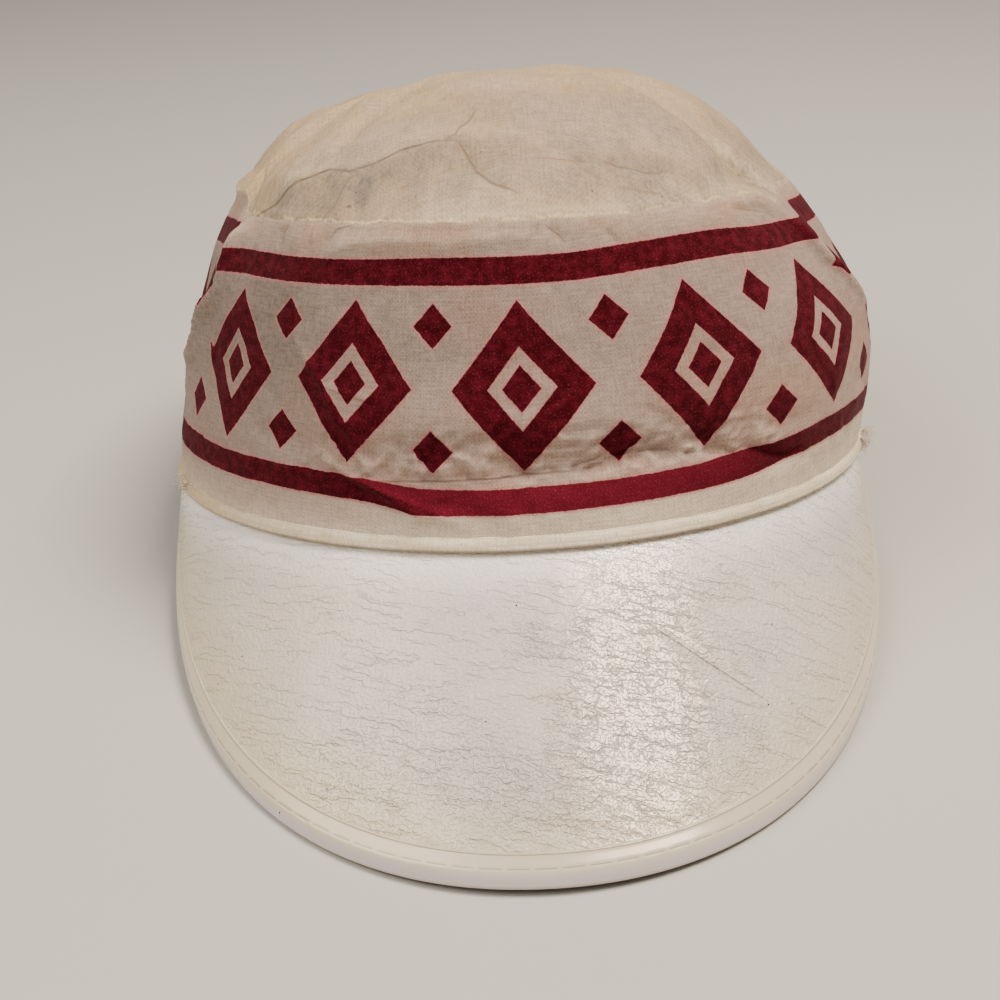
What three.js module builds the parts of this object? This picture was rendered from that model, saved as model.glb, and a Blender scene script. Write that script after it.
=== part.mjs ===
// Painter cap: a soft cotton crown with a moulded plastic peak, in millimetres, +Z up.
// The peak points along -Y. The cap rests by itself, on the peak's front edge and the
// back of the hem, so its own base plane is tipped back by the rest angle.

import * as THREE from 'three';
import { mergeVertices } from 'three/addons/utils/BufferGeometryUtils.js';

// Crown sizes
const CLOTH = 1.4;
const GAP = 0.3;
const HEM_HEIGHT = 3.2;
const HEM_PROUD = 0.9;
const HEM_DEPTH = 3.4;
const HEM_ROUND = 0.7;
const DOME_BASE = 62;
const DOME_SHOULDER = 3.6;

// The wall's mean radius turns an angle into a distance round it, and folds fade out at seams
const MEAN_RADIUS = 90;
const FOLD_FADE = 6;

// Outline of the wall, as half widths and half depths at each height
const WALL = [
  { height: 0, left: 89.4, right: 89.4, front: 94.6, back: 98 },
  { height: 18, left: 86.4, right: 91.8, front: 94, back: 97 },
  { height: 36, left: 82, right: 90.6, front: 92.2, back: 95 },
  { height: 54, left: 76.4, right: 80.3, front: 89.5, back: 91 },
  { height: 70, left: 67.8, right: 68.4, front: 85.5, back: 86 },
];

// Height of the seam between wall and top, by angle round from the front
const RIDGE = [
  { angle: 0, height: 67.8 },
  { angle: 60, height: 67.4 },
  { angle: 90, height: 66 },
  { angle: 140, height: 60 },
  { angle: 180, height: 57 },
];

// How far the soft top stands above its seam, across the cap
const CREST = [
  { across: -68, rise: 37 },
  { across: -45, rise: 30 },
  { across: -22, rise: 31.5 },
  { across: 0, rise: 33 },
  { across: 22, rise: 33 },
  { across: 45, rise: 31 },
  { across: 67, rise: 29 },
];

// Folds in the top, seen from above: a line from one end to the other, its width and rise
const TOP_FOLDS = [
  { x1: 27, y1: -30, x2: 64, y2: -58, width: 6, rise: -2.6 },
  { x1: 20, y1: -40, x2: 55, y2: -66, width: 6, rise: 1.6 },
  { x1: -58, y1: -46, x2: -10, y2: -68, width: 5, rise: 1.6 },
  { x1: -42, y1: -60, x2: -18, y2: -26, width: 8, rise: 1.2 },
  { x1: -34, y1: 30, x2: 34, y2: 40, width: 12, rise: -2.2 },
  { x1: 10, y1: 58, x2: 48, y2: 30, width: 9, rise: 1.8 },
];

// Folds in the wall: angle round from the front and height, width across and rise
const WALL_FOLDS = [
  { angle1: -60, height1: 66, angle2: -69, height2: 36, width: 5, rise: 1.8 },
  { angle1: 60, height1: 58, angle2: 68, height2: 40, width: 5, rise: 1.6 },
  { angle1: -34, height1: 21, angle2: 32, height2: 20, width: 4, rise: -1.0 },
  { angle1: -24, height1: 14, angle2: -12, height2: 9, width: 4, rise: -1.2 },
  { angle1: 142, height1: 60, angle2: 146, height2: 22, width: 8, rise: -1.8 },
  { angle1: -150, height1: 58, angle2: -140, height2: 24, width: 8, rise: -1.8 },
];

// Peak sizes
const PEAK_THICK = 1.5;
const PEAK_LENGTH = 71.4;
const PEAK_SLOPE = 41;
const PEAK_HALF_ANGLE = 89.5;
const PEAK_FULLNESS = 2.36;
const PEAK_ROUNDNESS = 0.64;
const PEAK_INSET = 0.4;
const LIP_WIDTH = 3;
const LIP_FALL = 1.6;

// Rest: the back of the soft hem lies flat on the floor from this far behind the middle
const REST_LINE = 76;
const REST_FADE = 30;

// Mesh fineness
const AROUND = 72;
const WALL_ROWS = 8;
const TOP_ROWS = 13;
const TOP_SPACING = 1.25;
const PEAK_COLUMNS = 44;
const PEAK_ROWS = 9;
const PEAK_SPACING = 1.4;
const PEAK_CORNER = 0.9996;
const SLOPE_STEP = 0.004;

const radians = (degrees) => degrees * Math.PI / 180;
const mix = (a, b, t) => a + (b - a) * t;

// A smooth value read from a table's rows at a place along its first column
function read(rows, column, value, at) {
  let i = 0;
  while (i < rows.length - 2 && at > rows[i + 1][column]) {
    i += 1;
  }
  const span = rows[i + 1][column] - rows[i][column];
  const t = Math.min(Math.max((at - rows[i][column]) / span, 0), 1);
  const slope = (k) => {
    const before = rows[Math.max(k - 1, 0)];
    const after = rows[Math.min(k + 1, rows.length - 1)];
    return (after[value] - before[value]) / (after[column] - before[column]);
  };
  const h = t * t * (3 - 2 * t);
  const lead = slope(i) * span * t * (1 - t) * (1 - t);
  const trail = slope(i + 1) * span * t * t * (1 - t);
  return mix(rows[i][value], rows[i + 1][value], h) + lead - trail;
}

const ridgeHeight = (turn) => read(RIDGE, 'angle', 'height', Math.abs(turn));

// A rise that fades away from the straight line between two points
function foldRise(x, y, ax, ay, bx, by, width, rise) {
  const dx = bx - ax;
  const dy = by - ay;
  const t = ((x - ax) * dx + (y - ay) * dy) / (dx * dx + dy * dy);
  const s = Math.min(Math.max(t, 0), 1);
  const gap = Math.hypot(x - ax - s * dx, y - ay - s * dy);
  return rise * Math.exp(-((gap / width) ** 2));
}

// The wall's outline at an angle and height, grown outward by an offset
function outline(turn, height, offset) {
  const s = Math.sin(radians(turn));
  const c = Math.cos(radians(turn));
  const wide = read(WALL, 'height', s < 0 ? 'left' : 'right', height);
  const deep = read(WALL, 'height', c > 0 ? 'front' : 'back', height);
  const normal = new THREE.Vector2(s / wide, -c / deep).normalize();
  return new THREE.Vector3(wide * s + normal.x * offset, -deep * c + normal.y * offset, height);
}

function wallFolds(turn, height) {
  const round = radians(turn) * MEAN_RADIUS;
  let rise = 0;
  for (const f of WALL_FOLDS) {
    const from = radians(f.angle1) * MEAN_RADIUS;
    const to = radians(f.angle2) * MEAN_RADIUS;
    rise += foldRise(round, height, from, f.height1, to, f.height2, f.width, f.rise);
  }
  const toSeam = Math.min(height - HEM_HEIGHT, ridgeHeight(turn) - height);
  return rise * Math.min(1, toSeam / FOLD_FADE);
}

// A closed geometry from quads of points that may repeat
function closedGeometry(quads) {
  const corners = [];
  for (const [a, b, c, d] of quads) {
    for (const triangle of [[a, b, c], [a, c, d]]) {
      const [p, q, r] = triangle;
      const area = q.clone().sub(p).cross(r.clone().sub(p)).length();
      if (area > 1e-6) {
        triangle.forEach((v) => corners.push(v.x, v.y, v.z));
      }
    }
  }
  const geometry = new THREE.BufferGeometry();
  geometry.setAttribute('position', new THREE.Float32BufferAttribute(corners, 3));
  const merged = mergeVertices(geometry, 1e-4);
  merged.computeVertexNormals();
  return merged;
}

// The peak's upper face: straight rulings from under the hem, with the edge rolled down
function peakPoint(t, along) {
  const turn = t * PEAK_HALF_ANGLE;
  const start = outline(turn, 0, -PEAK_INSET).setZ(-GAP);
  const fullness = (1 - Math.abs(t) ** PEAK_FULLNESS) ** PEAK_ROUNDNESS;
  const length = PEAK_LENGTH * fullness;
  const ruling = new THREE.Vector3(0, -Math.cos(radians(PEAK_SLOPE)), -Math.sin(radians(PEAK_SLOPE)));
  return start.addScaledVector(ruling, length * along);
}

function peakNormal(t, along) {
  const a = Math.min(Math.max(along, SLOPE_STEP), 1 - SLOPE_STEP);
  const s = Math.min(Math.max(t, -0.99), 0.99);
  const across = peakPoint(s + SLOPE_STEP, a).sub(peakPoint(s - SLOPE_STEP, a));
  const down = peakPoint(s, a + SLOPE_STEP).sub(peakPoint(s, a - SLOPE_STEP));
  return down.cross(across).normalize();
}

function makePeak() {
  const columns = [];
  for (let i = 0; i <= PEAK_COLUMNS; i += 1) {
    const t = Math.sin(Math.PI * (i / PEAK_COLUMNS - 0.5)) * PEAK_CORNER;
    const outer = [];
    const inner = [];
    for (let j = 0; j <= PEAK_ROWS; j += 1) {
      const along = 1 - (1 - j / PEAK_ROWS) ** PEAK_SPACING;
      const point = peakPoint(t, along);
      const normal = peakNormal(t, along);
      const fromEdge = point.distanceTo(peakPoint(t, 1));
      const fall = LIP_FALL * Math.max(0, 1 - fromEdge / LIP_WIDTH) ** 2;
      outer.push(point.clone().addScaledVector(normal, -fall));
      inner.push(point.clone().addScaledVector(normal, -fall - PEAK_THICK));
    }
    columns.push([...outer, ...inner.reverse()]);
  }
  const quads = [];
  for (let i = 0; i < PEAK_COLUMNS; i += 1) {
    const here = columns[i];
    const next = columns[i + 1];
    here.forEach((point, j) => {
      const k = (j + 1) % here.length;
      quads.push([point, here[k], next[k], next[j]]);
    });
  }
  const rows = PEAK_ROWS + 1;
  for (let j = 0; j < PEAK_ROWS; j += 1) {
    const far = 2 * rows - 1 - j;
    const first = columns[0];
    const last = columns[PEAK_COLUMNS];
    quads.push([first[j], first[far], first[far - 1], first[j + 1]]);
    quads.push([last[j], last[j + 1], last[far - 1], last[far]]);
  }
  return closedGeometry(quads);
}

// The slope of the floor against the base plane: the steepest that clears the whole peak
function floorSlope(peak) {
  const points = peak.getAttribute('position');
  let slope = 0;
  for (let i = 0; i < points.count; i += 1) {
    slope = Math.max(slope, -points.getZ(i) / (REST_LINE - points.getY(i)));
  }
  return slope;
}

const peakGeometry = makePeak();
const restSlope = floorSlope(peakGeometry);

// The soft back is pushed up by the floor it rests on, less and less above the hem
function settle(point) {
  const lift = Math.max(0, (point.y - REST_LINE) * restSlope);
  const above = Math.max(0, point.z - HEM_HEIGHT);
  return point.setZ(point.z + lift * Math.max(0, 1 - above / REST_FADE));
}

// A ring of sections joined round into one closed body
function ring(sections) {
  const quads = [];
  sections.forEach((here, i) => {
    const next = sections[(i + 1) % sections.length];
    here.forEach((point, j) => {
      const k = (j + 1) % here.length;
      quads.push([point, next[j], next[k], here[k]]);
    });
  });
  return closedGeometry(quads);
}

function makeBand() {
  const sections = [];
  for (let i = 0; i < AROUND; i += 1) {
    const turn = -180 + 360 * i / AROUND;
    const low = HEM_HEIGHT + GAP;
    const high = ridgeHeight(turn) - GAP / 2;
    const outer = [];
    const inner = [];
    for (let j = 0; j <= WALL_ROWS; j += 1) {
      const height = mix(low, high, j / WALL_ROWS);
      const rise = wallFolds(turn, height);
      outer.push(settle(outline(turn, height, rise)));
      inner.push(settle(outline(turn, height, rise - CLOTH)));
    }
    sections.push([...outer, ...inner.reverse()]);
  }
  return ring(sections);
}

// The soft top: a low pillow over the seam's outline, with its folds
function topPoint(turn, reach) {
  const rim = outline(turn, ridgeHeight(turn), 0);
  const x = rim.x * reach;
  const y = rim.y * reach;
  const base = mix(DOME_BASE, rim.z, reach * reach) + GAP / 2;
  const crest = read(CREST, 'across', 'rise', x) * (1 - reach ** DOME_SHOULDER);
  let folds = 0;
  for (const f of TOP_FOLDS) {
    folds += foldRise(x, y, f.x1, f.y1, f.x2, f.y2, f.width, f.rise);
  }
  const toSeam = (1 - reach) * MEAN_RADIUS;
  return new THREE.Vector3(x, y, base + crest + folds * Math.min(1, toSeam / FOLD_FADE));
}

function makeTop() {
  const sections = [];
  for (let i = 0; i < AROUND; i += 1) {
    const turn = -180 + 360 * i / AROUND;
    const outer = [];
    const inner = [];
    for (let j = 0; j <= TOP_ROWS; j += 1) {
      const reach = 1 - (j / TOP_ROWS) ** TOP_SPACING;
      const point = topPoint(turn, reach);
      outer.push(point);
      if (j === 0) {
        inner.push(outline(turn, ridgeHeight(turn), -CLOTH).setZ(point.z));
      } else if (j === TOP_ROWS) {
        inner.push(point.clone().setZ(point.z - CLOTH));
      } else {
        const along = topPoint(turn, reach - SLOPE_STEP).sub(topPoint(turn, reach + SLOPE_STEP));
        const across = topPoint(turn + 1, reach).sub(topPoint(turn - 1, reach));
        const normal = across.cross(along).normalize();
        inner.push(point.clone().addScaledVector(normal, -CLOTH));
      }
    }
    sections.push([...outer, ...inner.reverse()]);
  }
  return ring(sections);
}

// The rolled hem: a flat-bottomed roll with rounded corners, round the whole base
function makeHem() {
  const inside = HEM_PROUD - HEM_DEPTH;
  const r = HEM_ROUND;
  const section = [
    [inside + r, 0], [HEM_PROUD - r, 0], [HEM_PROUD, r], [HEM_PROUD, HEM_HEIGHT - r],
    [HEM_PROUD - r, HEM_HEIGHT], [inside + r, HEM_HEIGHT], [inside, HEM_HEIGHT - r], [inside, r],
  ];
  const sections = [];
  for (let i = 0; i < AROUND; i += 1) {
    const turn = -180 + 360 * i / AROUND;
    sections.push(section.map(([offset, height]) => settle(outline(turn, height, offset))));
  }
  return ring(sections);
}

function finish(colour, roughness) {
  return new THREE.MeshStandardMaterial({ color: colour, roughness, metalness: 0 });
}

function part(name, geometry, material) {
  const mesh = new THREE.Mesh(geometry, material);
  mesh.name = name;
  return mesh;
}

// The pieces share the cap's own frame, which is tipped and set down on the floor
const cap = new THREE.Group();
cap.add(part('band', makeBand(), finish('#c8bcae', 0.9)));
cap.add(part('crown_top', makeTop(), finish('#c9bca2', 0.92)));
cap.add(part('hem', makeHem(), finish('#d0bf9f', 0.9)));
cap.add(part('bill', peakGeometry, finish('#d3cdc4', 0.4)));
cap.rotation.x = -Math.atan(restSlope);

// The origin is the middle of the whole cap's footprint, on the floor
const painterCap = new THREE.Group();
painterCap.add(cap);
painterCap.updateMatrixWorld(true);
const box = new THREE.Box3().setFromObject(painterCap, true);
const middle = box.getCenter(new THREE.Vector3());
cap.position.set(-middle.x, -middle.y, -box.min.z);

export default painterCap;
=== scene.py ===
"""Painter cap: the cloth crown and the moulded peak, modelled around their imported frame.

The cap is worked out in millimetres in its own frame, whose base plane is the bottom of the
hem and whose front is -Y. One function turns and moves it to where the frame holds it.
"""

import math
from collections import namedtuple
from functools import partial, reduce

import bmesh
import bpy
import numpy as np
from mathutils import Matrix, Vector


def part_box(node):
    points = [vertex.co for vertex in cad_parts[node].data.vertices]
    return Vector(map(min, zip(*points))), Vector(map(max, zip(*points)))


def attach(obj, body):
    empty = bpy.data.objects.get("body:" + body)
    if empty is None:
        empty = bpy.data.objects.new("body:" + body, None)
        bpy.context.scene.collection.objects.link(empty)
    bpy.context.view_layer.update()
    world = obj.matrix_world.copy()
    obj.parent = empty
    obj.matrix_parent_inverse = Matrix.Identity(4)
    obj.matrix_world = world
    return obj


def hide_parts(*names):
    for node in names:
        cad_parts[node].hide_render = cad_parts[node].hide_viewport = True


bl_info = {
    "name": "Painter cap",
    "version": (1, 0, 0),
    "blender": (4, 5, 0),
    "location": "View3D > Sidebar > Cap",
    "description": "Cloth crown, rolled hem and moulded peak of a painter cap",
    "category": "Add Mesh",
}

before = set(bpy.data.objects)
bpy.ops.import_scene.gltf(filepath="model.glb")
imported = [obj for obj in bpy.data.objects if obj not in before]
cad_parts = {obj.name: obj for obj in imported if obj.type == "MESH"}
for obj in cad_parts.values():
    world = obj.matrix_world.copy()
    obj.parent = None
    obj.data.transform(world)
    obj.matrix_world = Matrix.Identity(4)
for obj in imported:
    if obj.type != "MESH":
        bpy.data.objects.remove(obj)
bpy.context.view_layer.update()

MM = 0.001
BODY = "root"

# Points closer than MERGE, in metres, become one. Edges sharper than SHARP degrees stay sharp.
MERGE = 1e-6
SHARP = 60
# Stands in for 0 where a value is divided by
TINY = 1e-6

# Rows and columns of the meshes, on the face that shows and on the hidden one
BAND_ROWS = 140
BAND_INSIDE_ROWS = 24
TOP_ROWS = 182
TOP_INSIDE_ROWS = 16
HEM_ROWS = 48
PEAK_COLUMNS = 561
PEAK_INSIDE_ROWS = 18

# The angles of the crown's columns: close together in front, further apart behind. Its map has
# one column more, where the crown closes.
TURNS = np.concatenate([np.arange(-84, 84, 0.45), np.arange(84.3, 276, 1.6)])
MAP_TURNS = np.append(TURNS, TURNS[0] + 360)

# Crown sizes of the frame, in millimetres
CLOTH = 1.4
GAP = 0.3
HEM_HEIGHT = 3.2
HEM_PROUD = 0.9
HEM_DEPTH = 3.4
DOME_BASE = 62
DOME_SHOULDER = 3.6
MEAN_RADIUS = 90
FOLD_FADE = 6
REST_LINE = 76
REST_FADE = 30

# Crown sizes of the cloth only: the height of the wall's lower edge inside the hem, the radius
# that the hem's roll has in its map, how far over the printing the wall's inner face lies in
# its map, and the radius of a loose thread
BAND_FOOT = 2.4
HEM_MAP_RADIUS = 1.8
UNPRINTED = 200
THREAD_RADIUS = 0.09

# Values that the mesh carries run from 0 to 1 over these lengths: across a thin line, away from
# the seam, away from the peak's rim, and along the rim
TRACE_SPAN = 20
SEAM_SPAN = 10
RIM_SPAN = 60
RIM_LENGTH = 500

# Outline of the wall, as half widths and half depths at each height
Level = namedtuple("Level", "height left right front back")
WALL = (
    Level(0, 89.4, 89.4, 94.6, 98),
    Level(18, 86.4, 91.8, 94, 97),
    Level(36, 82, 90.6, 92.2, 95),
    Level(54, 76.4, 80.3, 89.5, 91),
    Level(70, 67.8, 68.4, 85.5, 86),
)

# Height of the seam between wall and top, by angle round from the front
Ridge = namedtuple("Ridge", "angle height")
RIDGE = (Ridge(0, 67.8), Ridge(60, 67.4), Ridge(90, 66), Ridge(140, 60), Ridge(180, 57))

# How far the soft top stands above its seam, across the cap
Crest = namedtuple("Crest", "across rise")
CREST = (
    Crest(-68, 37), Crest(-45, 30), Crest(-22, 31.5), Crest(0, 33),
    Crest(22, 33), Crest(45, 31), Crest(67, 29),
)

# Folds that the frame has too: the route, the width on its left and right, the rise, and how
# sharp the fold is, from 0 for soft to 1 for a crease. Top routes are x and y, and wall routes
# are the angle round from the front and the height, here and in the tables after these.
Fold = namedtuple("Fold", "route left right rise crease")
TOP_FOLDS = (
    Fold(((27, -30), (64, -58)), 6, 6, -2.6, 0),
    Fold(((20, -40), (55, -66)), 6, 6, 1.6, 0),
    Fold(((-58, -46), (-10, -68)), 5, 5, 1.6, 0),
    Fold(((-42, -60), (-18, -26)), 8, 8, 1.2, 0),
    Fold(((-34, 30), (34, 40)), 12, 12, -2.2, 0),
    Fold(((10, 58), (48, 30)), 9, 9, 1.8, 0),
)
WALL_FOLDS = (
    Fold(((-60, 66), (-69, 36)), 5, 5, 1.8, 0),
    Fold(((60, 58), (68, 40)), 5, 5, 1.6, 0),
    Fold(((-34, 21), (32, 20)), 4, 4, -1.0, 0),
    Fold(((-24, 14), (-12, 9)), 4, 4, -1.2, 0),
    Fold(((142, 60), (146, 22)), 8, 8, -1.8, 0),
    Fold(((-150, 58), (-140, 24)), 8, 8, -1.8, 0),
)

# Broad folds of the top that only the cloth has
CLOTH_FOLDS = (
    Fold(((-60, 20), (-59, -28)), 6, 7, -2.6, 0),
    Fold(((14, 6), (29, -6)), 8, 8, 1.2, 0),
    Fold(((66, 12), (66, -20)), 5, 5, -1.8, 0),
)

# Thin creased lines, drawn by the shader as painted shade, dark lines in the creases: the route and the
# strength
Line = namedtuple("Line", "route amount")
LONG_CREASE = ((-60, -46), (-57, -49), (-50, -55), (-44, -58), (-39, -60), (-34, -64), (-28, -66),
               (-22, -67), (-17, -68), (-13, -69), (-9, -70))
SLANTING_FOLD = ((-44, -57), (-38, -56.5), (-34, -46), (-30, -41), (-25, -37), (-20, -34), (-17, -21))
LEFT_BRANCH = ((-33, -65), (-35, -67), (-37, -69), (-40, -69), (-44, -71))
LOWER_BRANCH = ((-11, -69), (-9, -72), (-7, -76), (-4, -79), (2, -82))
LEFT_TUCK = ((-44.3, 61), (-44.8, 64.6), (-44, 67))
SECOND_TUCK = ((-33, 64), (-31.8, 66.5), (-29, 67.5))
MIDDLE_TUCK = ((8.4, 62.5), (7.2, 64.5), (5, 67))
RIGHT_TUCK = ((42, 65.5), (48, 63.8), (54, 61.3))
STRIPE_TUCK = ((-31, 34.5), (-27, 33), (-22, 31))
TOP_LINES = (
    Line(LONG_CREASE, 1.1),
    Line(((-14, -68.6), (-11, -68), (-9, -64), (-6, -57)), 0.6),
    Line(LOWER_BRANCH, 0.7),
    Line(LEFT_BRANCH, 0.55),
    Line(((42, -48), (50, -44), (55, -43.5), (58, -44), (63, -45)), 0.9),
    Line(((4, -75), (10, -75), (16, -74)), 0.4),
    Line(((19, -72.5), (25, -72), (29, -71), (34, -68)), 0.45),
    Line(((22, -77), (27, -76), (32, -74)), 0.4),
    Line(((-55, -33), (-57, -42), (-60, -46)), 0.4),
    Line(((-56, -38), (-55, -33), (-52, -20)), 0.4),
    Line(((-34.4, -71), (-33.4, -71.9)), 1.6),
)
WALL_LINES = (
    Line(LEFT_TUCK, 0.4),
    Line(SECOND_TUCK, 0.35),
    Line(MIDDLE_TUCK, 0.35),
    Line(RIGHT_TUCK, 0.35),
    Line(((-23, 15), (-12, 15.1), (-4, 15.5), (8, 16)), 0.6),
    Line(STRIPE_TUCK, 0.3),
    Line(((62, 54), (64.5, 49), (67, 43)), 0.7),
)

# Finer folds of the top
TOP_CREASES = (
    Fold(((38, -50), (46, -46.5), (51, -43.5), (56, -43.5), (63, -45)), 2, 5, -1.6, 0.6),
    Fold(((42, -44), (50, -39.5), (57, -38.5), (64, -41)), 2.5, 4, 1.0, 0.4),
    Fold(((24, -42), (26, -47), (31, -53), (37, -57), (43, -59)), 3, 4, -1.0, 0.4),
    Fold(((10, -42), (14, -47), (18, -50), (22, -46), (27, -22)), 3, 4, -0.8, 0.4),
    Fold(((4, -74), (12, -74), (20, -72.5), (28, -71), (38, -67)), 2.2, 1.6, -0.5, 0.6),
    Fold(((21, -76), (28, -74.5), (36, -71)), 1.8, 1.6, -0.45, 0.6),
    Fold(((42, -63), (48, -60), (55, -55)), 2, 1.6, -0.45, 0.6),
    Fold(((-8, -60), (8, -68), (21, -66), (34, -63)), 5, 4, -0.6, 0.3),
    Fold(((6, -64), (13, -58), (22, -48), (28, -36)), 6, 6, 0.7, 0.2),
    Fold(LONG_CREASE, 7, 2.4, 1.0, 0.3),
    Fold(LEFT_BRANCH, 2, 4, 0.8, 0.4),
    Fold(LOWER_BRANCH, 2, 3, -0.9, 0.5),
    Fold(SLANTING_FOLD, 2, 8, -2.0, 0.5),
    Fold(((-52, -56), (-42, -44), (-34, -36), (-26, -22)), 6, 5, 1.1, 0.1),
    Fold(((-72, -48), (-70, -28), (-64, -2)), 8, 8, -2.4, 0.1),
    Fold(((-62, -44), (-57, -38), (-53, -24), (-50, -8)), 3, 3, -0.8, 0.5),
    Fold(((-30, 4), (-8, -8), (20, -4), (44, 10)), 6, 4, -0.7, 0.4),
    Fold(((-50, 36), (-20, 52), (12, 46)), 5, 7, 0.8, 0.3),
    Fold(((24, 66), (36, 44), (58, 30)), 4, 3, -0.8, 0.5),
)

# Painted highlights: strips of the top drawn paler than the cloth beside them, where they face the light
TOP_LIT = (
    Fold(((45, -45), (52, -41.5), (58, -42), (63, -44.5)), 1.8, 1.4, 0.9, 0),
    Fold(((-58, -45), (-50, -53), (-42, -57.5), (-33, -63), (-22, -66)), 2.0, 0.8, 0.3, 0),
)

# Painted shade on the dull sides of the two long folds of the top
TOP_PAINTED_SHADE = (Fold(LONG_CREASE, 0.7, 9, 0.2, 0.2), Fold(SLANTING_FOLD, 1.0, 5, 0.24, 0.2))

# Finer folds of the wall
WALL_CREASES = (
    Fold(((-59, 72), (-60, 60), (-61, 52), (-66, 44), (-70, 35), (-75, 20)), 8, 0.9, 2.3, 0.5),
    Fold(((57, 64), (60, 56), (61, 52), (64, 48), (68, 38)), 4, 1.6, 1.5, 0.6),
    Fold(((-33, 20.5), (-26, 16.5), (-21, 13), (-15, 8.4), (-9, 6)), 6, 1.6, 2.0, 0.7),
    Fold(((24, 17.5), (30, 15.5), (36, 13), (44, 11)), 1.4, 3.5, -1.6, 0.7),
    Fold(((-26, 15.6), (-10, 15.8), (0, 15.8), (10, 16.6), (20, 17.6), (34, 17.5)), 2.0, 5, -1.4, 0.4),
    Fold(((-34, 27), (-10, 26), (5, 26), (28, 28)), 9, 7, 1.2, 0.1),
    Fold(((-22, 26), (-6, 25), (12, 26)), 3, 2, -0.4, 0.4),
    Fold(((-37, 46), (-32, 38), (-30, 32), (-27, 26), (-23, 20)), 3.2, 1.4, 1.0, 0.8),
    Fold(STRIPE_TUCK, 1.6, 1.6, 0.35, 0.8),
    Fold(LEFT_TUCK, 1.2, 1.6, -0.9, 0.6),
    Fold(SECOND_TUCK, 1.2, 1.6, -0.5, 0.6),
    Fold(((-36, 61), (-27, 64), (-18, 65), (-6, 64.7), (5, 64)), 2.5, 3, 0.8, 0.4),
    Fold(MIDDLE_TUCK, 1, 1.2, -0.5, 0.6),
    Fold(((18, 62), (16, 65)), 1.2, 1, -0.5, 0.6),
    Fold(RIGHT_TUCK, 1.5, 2.5, -0.9, 0.5),
    Fold(((16, 30), (20, 26), (19, 20)), 1.6, 1.6, -0.4, 0.7),
    Fold(((-50, 30), (-42, 22), (-36, 19)), 3, 2, -0.4, 0.5),
    Fold(((48, 34), (52, 24), (50, 16)), 3, 3, 0.5, 0.3),
    Fold(((100, 58), (106, 40), (104, 20)), 5, 3, -1.0, 0.5),
    Fold(((-112, 56), (-104, 34), (-108, 16)), 4, 4, -0.9, 0.4),
    Fold(((168, 52), (176, 36), (170, 18)), 5, 5, 1.0, 0.3),
)

# Roughness of a sheet: noise or creased patches, the rise, the spacing, the seed, and how much
# closer together it lies across and up the sheet
Rough = namedtuple("Rough", "creased rise spacing seed across up")
WALL_ROUGH = (
    Rough(False, 0.5, 26, 21, 1, 1),
    Rough(True, 0.32, 21, 81, 1, 1),
    Rough(True, 0.16, 9, 83, 1, 1),
    Rough(False, 0.05, 3.2, 23, 1, 1),
)
CRUMPLED_ROUGH = (Rough(True, -0.5, 6, 91, 1, 1.5), Rough(True, -0.22, 3.2, 93, 1.3, 1))
TOP_ROUGH = (
    Rough(False, 0.6, 30, 41, 1, 1),
    Rough(True, 0.9, 32, 85, 1, 1),
    Rough(True, 0.3, 15, 87, 1, 1.3),
    Rough(False, 0.5, 17, 45, 1, 2.4),
    Rough(True, 0.12, 6.5, 89, 1, 1.5),
    Rough(False, 0.04, 2.6, 43, 1, 1),
)
PEAK_ROUGH = (Rough(False, 0.05, 7, 71, 1, 2.2), Rough(False, 0.03, 3.2, 72, 1, 1.8))

# Where the printing lies: the lower edge of the lower and of the upper stripe, by angle
Print = namedtuple("Print", "angle lower upper")
PRINT = (
    Print(-180, 9.5, 44.8), Print(-120, 9.5, 51), Print(-90, 10, 53.5),
    Print(-60, 10.8, 55.4), Print(-38, 10.9, 55.4), Print(-24, 10.2, 55.5), Print(-14, 8, 55.5),
    Print(8, 8, 55.4), Print(20, 8.3, 56.2), Print(34, 9.4, 56.7), Print(48, 11.4, 55.8),
    Print(62, 12, 55.4), Print(90, 10.5, 53.5), Print(120, 9.5, 51), Print(180, 9.5, 44.8),
)
SIDE_LIFT = 4.8
LOWER_STRIPE = 9.0
UPPER_STRIPE = 55.5
# Parts of a lozenge's width and height: its kernel, and the small lozenges' row, width and height
KERNEL = 0.27
SMALL_ROW = 0.72
SMALL_WIDE = 0.3
SMALL_TALL = 0.26

# Peak sizes
PEAK_THICK = 1.5
PEAK_LENGTH = 71.4
PEAK_SLOPE = 41
PEAK_RULING = np.array([0, -math.cos(math.radians(PEAK_SLOPE)), -math.sin(math.radians(PEAK_SLOPE))])
PEAK_HALF_ANGLE = 89.5
PEAK_FULLNESS = 2.36
PEAK_ROUNDNESS = 0.64
PEAK_INSET = 0.4
PEAK_CORNER = 0.9996
PEAK_SPACING = 1.4
LIP_WIDTH = 3
LIP_FALL = 1.6
FRAME_COLUMNS = 44
FRAME_ROWS = 9
EDGE_ANGLES = (45, 90, 135)

# Marks on the top: an oval's middle, half width, half depth and strength
Mark = namedtuple("Mark", "x y wide deep amount")
# Grey marks of handling; the last one is painted shade where the top's right side turns away from the light
TOP_SOIL_AND_SHADE = (
    Mark(-31.5, -70.5, 3, 3.4, 1), Mark(-36, -67, 16, 9, 0.45), Mark(26, -73, 28, 8, 0.6),
    Mark(0, -74, 22, 8, 0.5), Mark(34, -55, 16, 9, 0.45), Mark(-50, -59, 12, 7, 0.35),
    Mark(4, -58, 30, 9, 0.35), Mark(60, -34, 12, 22, 0.5),
)
TOP_YELLOW = (
    Mark(-60, -33, 7, 9, 0.8), Mark(-30, -20, 30, 30, 0.5), Mark(30, -20, 34, 26, 0.35),
    Mark(56, -46, 9, 10, 0.5), Mark(10, 50, 50, 40, 0.4),
)

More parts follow.
